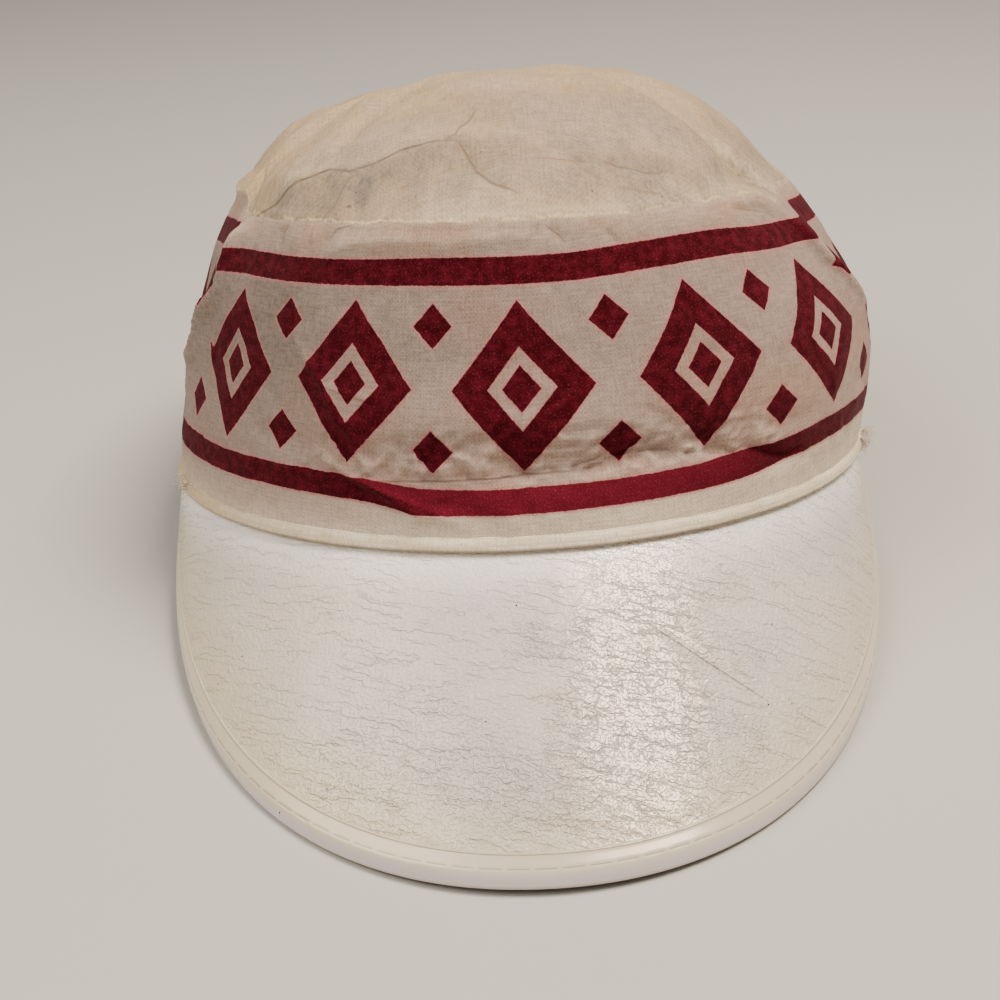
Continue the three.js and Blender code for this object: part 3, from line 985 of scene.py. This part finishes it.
def seam_pucker(around, from_seam, seed):
    """Small gathers that run away from a stitched seam and fade."""
    leaning = around + 0.25 * from_seam * noise(around, 0, 12, seed + 1)
    wide = 0.6 * noise(leaning, 0.12 * from_seam, 4.2, seed)
    narrow = 0.4 * noise(leaning, 0, 2.1, seed + 2)
    return (wide + narrow) * np.exp(-from_seam / 5.5)


def wall_relief(turn, height):
    """Folds that the frame has, and the finer ones that only the cloth has."""
    around = unrolled(turn)
    to_seam = ridge_height(turn) - height
    above_hem = height - HEM_HEIGHT
    broad = fold_rise(around, height, on_wall(WALL_FOLDS))
    broad *= np.clip(np.minimum(above_hem, to_seam) / FOLD_FADE, -1, 1)
    fine = fold_rise(around, height, on_wall(WALL_CREASES), 1.4, True)
    fine += roughness(around, height, WALL_ROUGH)
    # The strip above the lower stripe in front is crumpled
    crumpled = smooth(-40, -28, turn) * smooth(44, 34, turn)
    crumpled = crumpled * smooth(13.5, 16, height) * smooth(29, 20, height)
    ridged = 1 - 2 * np.abs(noise(around, height * 1.9, 5.2, 24))
    fine += crumpled * (0.35 * ridged + roughness(around, height, CRUMPLED_ROUGH))
    fine *= smooth(0, 3.5, to_seam)
    fine += 0.45 * seam_pucker(around, np.abs(to_seam), 31)
    fine += 0.6 * seam_pucker(around, np.abs(above_hem), 34)
    fine *= smooth(-0.5, 5, above_hem) * 0.8 + 0.2
    return broad, fine


def printed_height(heights):
    """Where each place of the wall lies in the printing. Its stripes bend with the cloth, and the
    upper one is lifted past the two upper corners."""
    angle = signed(MAP_TURNS)[:, None]
    lower = read(PRINT, "angle", "lower", angle)
    upper = read(PRINT, "angle", "upper", angle)
    lifted = np.where(angle > 0, 0.65 * smooth(60, 63.6, angle), smooth(-60.4, -60.9, angle))
    upper = upper + SIDE_LIFT * lifted * smooth(115, 78, np.abs(angle))
    heights = np.concatenate([heights, heights[:1]])
    return LOWER_STRIPE + (heights - lower) * (UPPER_STRIPE - LOWER_STRIPE) / (upper - lower)


def wall_looks(turn, height, low):
    """What the wall's outer face carries, and what its inner face does. Low is how far each
    place lies below the cloth near it."""
    around = unrolled(turn)
    to_seam = ridge_height(turn) - height
    # Grime and painted shade: grime just over the hem, painted shade in the hollows, on the lower left and
    # on the left, where the wall is shaded, grime patches, and painted shade over the upper part
    uneven = 0.6 + 0.4 * noise(around, height, 7, 64)
    soil = 0.1 * smooth(16, 9, height) * smooth(4, 8, height) * uneven
    soil += 0.12 * smooth(0.05, 0.45, low)
    soil += 0.2 * smooth(-25, -50, turn) * smooth(32, 12, height)
    soil += 0.42 * smooth(2, -48, turn) * smooth(64, 54, height) * smooth(6, 12, height)
    soil += 0.12 * smooth(0.2, 0.9, noise(around, height, 22, 65))
    soil += 0.5 * smooth(14, 44, height) * smooth(69, 61, height)
    # Yellow: by the hem, most on the left, then patches, and by the seam
    yellow = 0.35 * smooth(9, 3, height) * (0.6 + 0.4 * smooth(-30, -70, turn))
    yellow = yellow + 0.12 * smooth(0.3, 1, noise(around, height, 30, 66))
    yellow = yellow + 0.2 * smooth(9, 3, to_seam)
    # Pale: painted highlights on the ridges, the seam's edge, painted light on the strip under the lower
    # stripe, less on the shaded left, and paler by the hem
    pale = 0.3 * smooth(0.05, 0.35, -low) + 0.3 * smooth(0.9, 0.1, to_seam)
    pale += (0.4 + 0.5 * smooth(-35, -8, turn)) * smooth(15, 9, height)
    pale += 0.35 * smooth(7, 3.2, height)
    # Painted light: the lower stripe's ink is drawn lighter to the right of its tuck, where the cloth faces
    # the light
    past_tuck = turn + 21 - 1.8 * (13 - height)
    faded = smooth(20, 14, height) * smooth(-0.4, 0.5, past_tuck) * smooth(48, 12, turn)
    side, shown = traced(around + 0 * height, height, on_wall(WALL_LINES), 0.5)
    return {"soil": (soil, 0.1), "yellow": (yellow, 0.3), "pale": (pale, 0), "faded": (faded, 0),
            "side": (side, 0), "shown": (shown, 0)}


def make_band(sizes, colours):
    """The wall: from inside the hem up to the seam, printed with stripes and lozenges."""
    turn = signed(TURNS)[:, None]
    ridge = ridge_height(turn)
    rows = np.linspace(0, 1, BAND_ROWS)[None, :]
    # Rows lie closer together half way up
    rows = rows + 0.03 * np.sin(2 * np.pi * rows) - 0.012 * np.sin(4 * np.pi * rows)
    height = mix(BAND_FOOT, ridge, rows)
    broad, fine = wall_relief(turn, height)
    outer = settle(outline(turn, height, broad + fine))
    inside = mix(BAND_FOOT, ridge - 0.4, np.linspace(1, 0, BAND_INSIDE_ROWS)[None, :])
    broad_inside, fine_inside = wall_relief(turn, inside)
    inner = settle(outline(turn, inside, broad_inside + 0.5 * np.minimum(fine_inside, 0) - CLOTH))
    points = np.concatenate([outer, inner], 1)
    around = unrolled(MAP_TURNS)[:, None]
    printed = printed_height(np.concatenate([height, inside + UNPRINTED], 1))
    uv = np.stack(np.broadcast_arrays(around, printed), -1)
    looks = wall_looks(turn, height, hollows(broad + fine))
    piece = make_piece("band_cloth", points, uv, BAND_ROWS, looks)
    finish_piece(piece, printed_cotton(sizes, colours), "band")


def top_point(turn, reach):
    """The soft top: a low pillow over the seam's outline, with its broad folds."""
    rim = outline(turn, ridge_height(turn), 0)
    x = rim[..., 0] * reach
    y = rim[..., 1] * reach
    base = mix(DOME_BASE, rim[..., 2], reach ** 2)
    crest = read(CREST, "across", "rise", x) * (1 - reach ** DOME_SHOULDER)
    fade = np.minimum(1, (1 - reach) * MEAN_RADIUS / FOLD_FADE)
    folds = fold_rise(x, y, TOP_FOLDS + CLOTH_FOLDS)
    return np.stack([x, y, base + crest + folds * fade], -1)


def sheet_normals(points):
    """Outward normals over a closed grid whose rows run inward and whose columns run round."""
    wide = np.concatenate([points[-1:], points, points[:1]])
    return unit(np.cross(wide[2:] - wide[:-2], np.gradient(points, axis=1)))


def top_relief(turn, reach, x, y):
    """The finer folds of the top and the raised lip along its seam."""
    from_seam = (1 - reach) * np.hypot(x, y) / np.maximum(reach, TINY)
    around = unrolled(turn)
    creases = fold_rise(x, y, TOP_CREASES, 0.7, True)
    fine = (creases + roughness(x, y, TOP_ROUGH)) * smooth(0, 6, from_seam)
    fine += 0.45 * seam_pucker(around, from_seam, 31)
    lip = np.exp(-((from_seam - 0.8) / 0.6) ** 2) - math.exp(-((0.8 / 0.6) ** 2))
    fine += (0.6 + 0.6 * noise(around, 0, 7, 35)) * 0.4 * lip
    return fine, creases, from_seam


def top_looks(x, y, creases, from_seam):
    """What the top's outer face carries, and what its inner face does."""
    low = hollows(creases)
    # Grey: marks of handling, plus painted shade in the hollows and on the dull sides of the long folds
    soil = marks_at(x, y, TOP_SOIL_AND_SHADE) + 0.12 * smooth(0.02, 0.2, low)
    soil += fold_rise(x, y, TOP_PAINTED_SHADE, 0.4, True)
    # Pale: painted highlights on the lit strips and the ridges, and paler cloth by the seam on the left
    pale = fold_rise(x, y, TOP_LIT, 0.7, True) + 0.25 * smooth(0.04, 0.3, -low)
    pale += 0.4 * smooth(7, 0.5, from_seam) * smooth(-35, -5, x)
    side, shown = traced(x, y, TOP_LINES, 0.4)
    return {"soil": (soil, 0.1), "yellow": (marks_at(x, y, TOP_YELLOW), 0.4), "pale": (pale, 0),
            "side": (side, 0), "shown": (shown, 0), "from_seam": (from_seam / SEAM_SPAN, 1)}


def make_top(sizes, colours):
    """The soft top, sewn to the wall round its seam."""
    turn = signed(TURNS)[:, None]
    reach = 1 - np.linspace(0, 1, TOP_ROWS)[None, :] ** 1.18
    base = top_point(turn, reach + 0 * turn)
    x = base[..., 0]
    y = base[..., 1]
    fine, creases, from_seam = top_relief(turn, reach, x, y)
    # The columns meet at one point in the middle, where the normal is straight up
    steady = base.copy()
    steady[:, -1] = base[:, -2].mean(0)
    off_middle = smooth(0.0, 0.03, reach)[..., None]
    normal = sheet_normals(steady) * off_middle + np.array([0, 0, 1]) * (1 - off_middle)
    level = outline(turn, base[..., 2], 1) - outline(turn, base[..., 2], 0)
    normal = mix(level, normal, smooth(0, 4, from_seam)[..., None])
    outer = base + normal * fine[..., None]
    outer[:, -1] = outer[:, -1].mean(0)
    pick = inside_rows(TOP_ROWS, TOP_INSIDE_ROWS)
    inner = base[:, pick] - normal[:, pick] * (CLOTH - 0.5 * np.minimum(fine[:, pick], 0))[..., None]
    inner[:, 0] = inner[:, 0].mean(0)
    inner[:, -1] = outline(turn, ridge_height(turn), -CLOTH)[:, 0]
    points = np.concatenate([outer, inner], 1)
    uv = np.concatenate([points, points[:1]])[..., :2]
    piece = make_piece("crown_cloth", points, uv, TOP_ROWS, top_looks(x, y, creases, from_seam))
    finish_piece(piece, aged_cotton(sizes, colours), "crown_top")


def make_hem(sizes, colours):
    """The rolled hem: cloth folded over twice, with a crease along its outer face."""
    turn = signed(TURNS)[:, None]
    around = unrolled(turn)
    sweep = np.linspace(0, 2 * np.pi, HEM_ROWS, endpoint=False)[None, :]
    half_deep = HEM_DEPTH / 2
    half_tall = HEM_HEIGHT / 2 + 0.1
    swell = 1 + 0.05 * noise(around, 0, 9, 51) + 0.04 * noise(around, 0, 3.5, 52)
    cosine = np.cos(sweep)
    sine = np.sin(sweep)
    offset = HEM_PROUD - half_deep + half_deep * np.sign(cosine) * np.abs(cosine) ** 0.55 * swell
    height = HEM_HEIGHT / 2 + half_tall * np.sign(sine) * np.abs(sine) ** 0.7
    # The folded edge: a ridge with a crease beside it
    ridge = np.exp(-((sweep - 0.95) / 0.13) ** 2) - 0.8 * np.exp(-((sweep - 0.68) / 0.16) ** 2)
    offset = offset + 0.17 * ridge * (0.8 + 0.5 * noise(around, 0, 14, 53))
    offset = offset + 1.0 * (0.45 - height / HEM_HEIGHT) * (cosine > 0)
    height = np.maximum(height + 0.12 * noise(around, sweep * 2, 7, 54) * (sine > 0), 0.0)
    points = settle(outline(turn, height, offset))
    uv = np.stack(np.broadcast_arrays(unrolled(MAP_TURNS)[:, None], sweep * HEM_MAP_RADIUS), -1)
    # Grime patches, painted shade in the crease beside the folded edge and low on the outer face, and a
    # painted highlight on the folded edge
    soil = 0.1 * smooth(0.1, 0.8, noise(around, 3 * sweep, 11, 55))
    soil = soil + 0.06 * np.exp(-((sweep - 0.6) / 0.2) ** 2)
    soil = soil + 0.5 * smooth(0.8, 0.2, height) * (cosine > 0)
    pale = 0.7 * np.exp(-((sweep - 0.95) / 0.15) ** 2)
    looks = {"soil": (soil, 0), "pale": (pale, 0), "yellow": (0.6 * smooth(-15, -60, turn), 0)}
    piece = make_piece("hem_roll", points, uv, HEM_ROWS, looks)
    finish_piece(piece, rolled_cotton(sizes, colours), "hem")
    make_frays(piece.data.materials[0])


def thread_tube(route, radius):
    """A tapered three-sided tube along a route, as points and faces."""
    ring = np.array([[math.cos(a), math.sin(a)] for a in (0, 2 * math.pi / 3, 4 * math.pi / 3)])
    ahead = unit(np.gradient(route, axis=0))
    side = unit(np.cross(ahead, [0.31, 0.52, 0.79]))
    other = np.cross(ahead, side)
    size = radius * np.linspace(1, 0.45, len(route))[:, None, None]
    round_it = ring[None, :, :1] * side[:, None] + ring[None, :, 1:] * other[:, None]
    faces = []
    for i in range(len(route) - 1):
        for j in range(3):
            k = (j + 1) % 3
            faces.append((3 * i + j, 3 * i + k, 3 * i + 3 + k, 3 * i + 3 + j))
    last = 3 * len(route) - 3
    faces += [(0, 2, 1), (last, last + 1, last + 2)]
    return (route[:, None] + size * round_it).reshape(-1, 3), faces


def make_frays(material):
    """Loose threads where the ends of the hem have worn at the two corners of the peak."""
    random = np.random.default_rng(7)
    for tuft in TUFTS:
        outward = math.copysign(1, tuft.turn)
        points = []
        faces = []
        for _ in range(tuft.threads):
            angle = tuft.turn + outward * random.uniform(-3.5, 1.5)
            root = settle(outline(angle, random.uniform(0.2, 3.6), HEM_PROUD)).ravel()
            out = outline(angle, 2, 1).ravel() - outline(angle, 2, 0).ravel()
            lean = out * random.uniform(0.25, 1.0) + random.normal(0, 0.5, 3) + np.array([0, 0, -0.35])
            lean = unit(lean)
            length = random.uniform(0.9, 3.3)
            t = np.linspace(0, 1, 6)[:, None]
            curl = np.cross(lean, random.normal(0, 1, 3))
            route = root + lean * length * t + curl * length * 0.4 * np.sin(3.6 * t)
            some_points, some_faces = thread_tube(route, THREAD_RADIUS)
            before = len(points) * len(some_points)
            faces += [tuple(i + before for i in face) for face in some_faces]
            points.append(some_points)
        points = np.concatenate(points)
        places = points[np.concatenate(faces)][:, :2]
        mesh = make_mesh(tuft.name, points, faces, places, {"pale": np.ones(len(points))})
        finish_piece(add_object(tuft.name, mesh), material)


def inside_rows(rows, count):
    """A few of the rows of an outer face, from last to first, for the face inside it."""
    return np.unique(np.linspace(0, rows - 1, count).astype(int))[::-1]


def from_rim_line(flat):
    """The distance of each place on the flattened peak from its rim, how far along the rim it
    is, and the rim's direction."""
    rim = flat[:, -1]
    tangent = unit(np.gradient(rim, axis=0))
    walked = np.concatenate([[0], np.cumsum(np.linalg.norm(np.diff(rim, axis=0), axis=1))])
    from_rim = np.zeros(flat.shape[:2])
    along_rim = np.zeros(flat.shape[:2])
    for row in range(flat.shape[1]):
        apart = flat[:, row, None] - rim[None]
        nearest = np.argmin((apart ** 2).sum(-1), axis=1)
        gap = apart[np.arange(len(nearest)), nearest]
        way = tangent[nearest]
        from_rim[:, row] = np.abs(gap[:, 0] * way[:, 1] - gap[:, 1] * way[:, 0])
        along_rim[:, row] = walked[nearest] + (gap * way).sum(-1)
    return from_rim, along_rim, tangent


def stitches(from_rim, along_rim, sizes):
    """The dashes of the false stitch line, 1 in a dash."""
    period = (sizes.stitch + sizes.stitch_gap) / MM
    half = sizes.stitch / MM / 2
    from_middle = np.abs(np.mod(along_rim + period / 2, period) - period / 2)
    dash = smooth(half + 0.3, half - 0.3, from_middle)
    return dash * np.exp(-((from_rim - sizes.stitch_inset / MM) / 0.25) ** 2)


def peak_relief(u, v, from_rim, along_rim, from_hem, sizes):
    """The moulded face: swells between the cracks, the false stitches and the raised line."""
    rim_width = sizes.rim_width / MM
    inside = smooth(5.5, 7.5, from_rim) * smooth(0, 6, from_hem)
    broad = 0.3 * noise(u, v, 38, 73) * smooth(0, 12, from_hem) * smooth(0, 10, from_rim)
    raised = 0.13 * np.exp(-((from_rim - rim_width) / 0.3) ** 2)
    smooth_rim = 0.04 * smooth(rim_width + 0.3, rim_width - 0.3, from_rim)
    groove = -0.12 * stitches(from_rim, along_rim, sizes)
    crease = fold_rise(u, v, PEAK_CREASE, 0.0, True)
    return inside * roughness(u, v, PEAK_ROUGH) + broad + raised + smooth_rim + groove + crease


def peak_looks(u, v, from_rim, along_rim, from_hem, sizes):
    """What the peak's upper face carries, and what its edge and underside do."""
    rim_width = sizes.rim_width / MM
    grained = smooth(rim_width - 0.1, rim_width + 0.5, from_rim)
    cracked = 0.25 + 0.75 * marks_at(u, v, PEAK_GRAIN)
    warm = 0.75 * smooth(26, 5, from_rim) + 0.25 * smooth(-10, -50, u)
    side, shown = traced(u, v, [Line(fold.route, 1) for fold in PEAK_CREASE], 0.0)
    return {
        "grained": (grained, 0),
        "rim": (smooth(2.4, 0.4, from_rim), 0.6),
        "cracked": (cracked, 0),
        "warm": (warm, 0),
        # Painted light beside the hem, against the hem's shadow
        "clean": (smooth(15, 0, from_hem), 0),
        "side": (side, 0),
        "shown": (shown, 0),
        "from_rim": (from_rim / RIM_SPAN, 0),
        "along_rim": (along_rim / RIM_LENGTH, 0),
    }


def make_peak(sizes, colours):
    """The moulded peak: a leather-grained sheet with a false stitch line and a rolled rim."""
    even = np.linspace(-1, 1, PEAK_COLUMNS)
    t = 0.5 * even + 0.5 * np.sin(np.pi / 2 * even)
    # Rows lie closer together near the rim
    rows = np.concatenate([np.linspace(0, 0.84, 96, endpoint=False), np.linspace(0.84, 1, 38)])
    t, along = np.meshgrid(t, rows, indexing="ij")
    point, normal, reach = peak_sheet(t, along)
    start = peak_sheet(t[:, 0], 0 * t[:, 0])[0]
    down = start @ PEAK_RULING
    crosswise = start - down[:, None] * PEAK_RULING
    across = np.concatenate([[0], np.cumsum(np.linalg.norm(np.diff(crosswise, axis=0), axis=1))])
    across -= across[len(across) // 2]
    from_hem = reach * along
    flat = np.stack([across[:, None] + 0 * along, down[:, None] + from_hem], -1)
    from_rim, along_rim, tangent = from_rim_line(flat)
    placed = (flat[..., 0], flat[..., 1], from_rim, along_rim, from_hem, sizes)
    fall = LIP_FALL * np.maximum(0, 1 - from_rim / LIP_WIDTH) ** 2
    outer = point + normal * (peak_relief(*placed) - fall)[..., None]
    pick = inside_rows(len(rows), PEAK_INSIDE_ROWS)
    inner = point[:, pick] - normal[:, pick] * (fall[:, pick] + PEAK_THICK)[..., None]
    crosswise_way = unit(np.gradient(crosswise, axis=0))
    outward = tangent[:, :1] * PEAK_RULING - tangent[:, 1:] * crosswise_way
    middle = (outer[:, -1] + inner[:, 0]) / 2
    half = np.linalg.norm(outer[:, -1] - inner[:, 0], axis=1)[:, None] / 2
    edge = []
    for angle in np.radians(EDGE_ANGLES):
        swung = math.cos(angle) * normal[:, -1] + 0.55 * math.sin(angle) * outward
        edge.append(middle + half * swung)
    points = np.concatenate([outer, np.stack(edge, 1), inner], 1)
    uv = np.concatenate([flat, np.repeat(flat[:, -1:], len(edge), 1), flat[:, pick]], 1)
    piece = make_piece("peak", points, uv, len(rows), peak_looks(*placed), closed=False)
    finish_piece(piece, moulded_vinyl(sizes, colours), "bill")


def turned(way):
    """A direction from the cap's own frame in the frame's."""
    return (TO_WORLD.to_3x3() @ Vector(way)).normalized()


def place_camera():
    """Where the camera stands, and how it is turned."""
    azimuth, elevation, roll = (math.radians(a) for a in (AZIMUTH, ELEVATION, ROLL))
    level = Vector((math.sin(azimuth), math.cos(azimuth), 0))
    ahead = level * math.cos(elevation) - Vector((0, 0, math.sin(elevation)))
    right = Vector((math.cos(azimuth), -math.sin(azimuth), 0))
    rolled = right * math.cos(roll) + right.cross(ahead) * math.sin(roll)
    ahead_world, right_world = turned(ahead), turned(rolled)
    up_world = right_world.cross(ahead_world)
    place = Matrix((right_world, up_world, -ahead_world)).transposed().to_4x4()
    place.translation = TO_WORLD @ (Vector(TARGET) - ahead * DISTANCE)
    return place


def make_stage(colours):
    """Camera, floor and light."""
    camera = add_object("camera", bpy.data.cameras.new("camera"))
    bpy.context.scene.camera = camera
    camera.data.lens = LENS
    camera.data.sensor_width = SENSOR
    camera.data.clip_start = 0.01
    camera.data.clip_end = 100
    camera.matrix_world = place_camera()
    bpy.ops.mesh.primitive_plane_add(size=12, location=(0, 3, 0))
    floor = bpy.context.active_object
    floor.name = "floor"
    floor.data.materials.append(painted_board(colours))
    for row in LIGHTS:
        light = add_object(row.name, bpy.data.lights.new(row.name, "AREA"))
        light.data.energy = row.energy
        light.data.color = linear(row.colour)[:3]
        light.data.size = row.size
        light.location = row.place
        towards = Vector(row.aim) - Vector(row.place)
        light.rotation_euler = towards.to_track_quat("-Z", "Y").to_euler()
    world = bpy.data.worlds.new("studio")
    world.use_nodes = True
    fill(world.node_tree.nodes["Background"], {"Color": linear(SKY_COLOUR), "Strength": SKY_STRENGTH})
    bpy.context.scene.world = world
    bpy.context.scene.view_settings.look = "AgX - Medium High Contrast"


def length_setting(name, text, millimetres):
    """A length that the panel's user can change."""
    return bpy.props.FloatProperty(
        name=name, description=text, default=millimetres * MM, unit="LENGTH", precision=5)


def colour_setting(name, text, hex_colour):
    """A colour that the panel's user can change."""
    return bpy.props.FloatVectorProperty(
        name=name, description=text, default=linear(hex_colour), size=4, subtype="COLOR", min=0, max=1)


class CapSizes(bpy.types.PropertyGroup):
    """Sizes that a user would change, beside those that the frame fixes."""

    thread: length_setting(
        "Thread spacing", "Space between threads, drawn coarser than the real 0.35 mm", 0.5)
    stripe: length_setting("Stripe", "Width of a printed stripe", 5.4)
    lozenges: bpy.props.IntProperty(
        name="Lozenges", description="How many lozenges go round", default=14, min=3)
    lozenge_width: length_setting("Lozenge width", "Width of a printed lozenge", 31)
    lozenge_height: length_setting("Lozenge height", "Height of a printed lozenge", 35)
    lozenge_stroke: length_setting("Lozenge stroke", "Width of a lozenge's printed frame", 6)
    grain_length: length_setting("Grain length", "Length of the leather grain's waves", 17)
    grain_height: length_setting("Grain height", "Space between the leather grain's lines", 3.5)
    grain_depth: length_setting("Grain depth", "Depth of the leather grain", 0.27)
    rim_width: length_setting("Rim width", "Width of the smooth rim round the grain", 5.6)
    stitch_inset: length_setting("Stitch inset", "Distance from the false stitches to the edge", 2.7)
    stitch: length_setting("Stitch", "Length of a false stitch", 4.3)
    stitch_gap: length_setting("Stitch gap", "Space between false stitches", 1.1)


class CapColours(bpy.types.PropertyGroup):
    """Colours of the cloth, ink, peak and floor."""

    cotton: colour_setting("Cotton", "Top cloth", "#BFAC97")
    cotton_warm: colour_setting("Warm cotton", "Warmer patches of the top cloth", "#BCA58A")
    cotton_yellow: colour_setting("Yellowed cotton", "Yellowed patches", "#C7AF8A")
    # Painted highlights on the top's ridges and lit strips, and paler cloth by the seam
    cotton_pale_and_lit: colour_setting("Pale cotton", "Worn ridges and seams", "#DDCDB2")
    cotton_worn: colour_setting("Worn cotton", "Threads worn pale along the seam", "#EAD8B0")
    band: colour_setting("Band", "Band cloth", "#C4AEA3")
    band_pink: colour_setting("Pink band", "Pinker patches of the band cloth", "#C2A597")
    # Painted highlights on the wall's ridges, painted light low on the wall, and paler cloth by the seam
    # and the hem
    band_pale_and_lit: colour_setting("Pale band", "Cleaner parts of the band cloth", "#E6D6C3")
    hem: colour_setting("Hem", "Rolled hem", "#FBEED8")
    hem_yellow: colour_setting("Yellowed hem", "Yellowed parts of the hem", "#F2E2C4")
    # Painted highlight on the hem's folded edge, and the loose threads' own pale colour
    hem_pale_and_lit: colour_setting("Pale hem", "Worn edge of the hem and its loose threads", "#F3EADC")
    thread_shadow: colour_setting("Thread shadow", "Tint between threads", "#D8D2CA")
    # Grime of handling, and painted shade in hollows, creases and the shaded parts of the cloth
    soil: colour_setting("Soil", "Grey of handling", "#888078")
    ink: colour_setting("Ink", "Printing ink", "#52131C")
    # Thinner ink, and painted light on the lower stripe past its tuck
    ink_thin_and_lit: colour_setting("Bright ink", "Thinner ink", "#802C3A")
    ink_bleed: colour_setting("Ink bleed", "Cloth tinged by ink", "#CB8B8C")
    peak: colour_setting("Peak", "Moulded peak", "#E0D2C8")
    peak_cool: colour_setting("Cool peak", "Cooler patches of the peak", "#DACFCB")
    peak_warm: colour_setting("Warm peak", "Creamier outer part of the peak", "#DCCFB6")
    # Painted light on the peak beside the hem, against the hem's shadow
    peak_painted_light: colour_setting("Clean peak", "Cleaner strip of the peak beside the hem", "#FAF3EC")
    peak_rim: colour_setting("Peak rim", "Rolled rim", "#DCD4D2")
    # Grime in the grain's lines, the false stitches, and painted shade along the peak's crease
    peak_crack_and_shade: colour_setting("Peak crack", "Dirt in the cracks", "#8A857F")
    speck: colour_setting("Speck", "Dark specks on the peak and the top", "#2E2926")
    floor: colour_setting("Floor", "Painted board", "#C9C6BF")


class CAP_OT_stage(bpy.types.Operator):
    """Set up the camera, the floor and the light"""

    bl_idname = "cap.stage"
    bl_label = "Stage"

    def execute(self, context):
        make_stage(context.scene.cap_colours)
        return {"FINISHED"}


class CAP_OT_peak(bpy.types.Operator):
    """Make the moulded peak"""

    bl_idname = "cap.peak"
    bl_label = "Peak"

    def execute(self, context):
        make_peak(context.scene.cap_sizes, context.scene.cap_colours)
        return {"FINISHED"}


class CAP_OT_hem(bpy.types.Operator):
    """Make the rolled hem and its frayed ends"""

    bl_idname = "cap.hem"
    bl_label = "Hem"

    def execute(self, context):
        make_hem(context.scene.cap_sizes, context.scene.cap_colours)
        return {"FINISHED"}


class CAP_OT_band(bpy.types.Operator):
    """Make the printed wall of the crown"""

    bl_idname = "cap.band"
    bl_label = "Band"

    def execute(self, context):
        make_band(context.scene.cap_sizes, context.scene.cap_colours)
        return {"FINISHED"}


class CAP_OT_crown_top(bpy.types.Operator):
    """Make the soft top of the crown"""

    bl_idname = "cap.crown_top"
    bl_label = "Crown top"

    def execute(self, context):
        make_top(context.scene.cap_sizes, context.scene.cap_colours)
        return {"FINISHED"}


class CAP_PT_panel(bpy.types.Panel):
    """Lists the cap's pieces"""

    bl_idname = "CAP_PT_panel"
    bl_label = "Painter cap"
    bl_space_type = "VIEW_3D"
    bl_region_type = "UI"
    bl_category = "Cap"

    def draw(self, context):
        for operator in OPERATORS:
            self.layout.operator(operator.bl_idname)


OPERATORS = (CAP_OT_stage, CAP_OT_peak, CAP_OT_hem, CAP_OT_band, CAP_OT_crown_top)
CLASSES = (CapSizes, CapColours) + OPERATORS + (CAP_PT_panel,)


def register():
    """Tells Blender about the settings, the operators and the panel."""
    for kind in CLASSES:
        bpy.utils.register_class(kind)
    bpy.types.Scene.cap_sizes = bpy.props.PointerProperty(type=CapSizes)
    bpy.types.Scene.cap_colours = bpy.props.PointerProperty(type=CapColours)


def unregister():
    """Takes back what register told Blender."""
    del bpy.types.Scene.cap_colours
    del bpy.types.Scene.cap_sizes
    for kind in reversed(CLASSES):
        bpy.utils.unregister_class(kind)


def main():
    """Makes the stage and all pieces."""
    register()
    bpy.ops.cap.stage()
    bpy.ops.cap.peak()
    bpy.ops.cap.hem()
    bpy.ops.cap.band()
    bpy.ops.cap.crown_top()


if __name__ == "__main__":
    main()
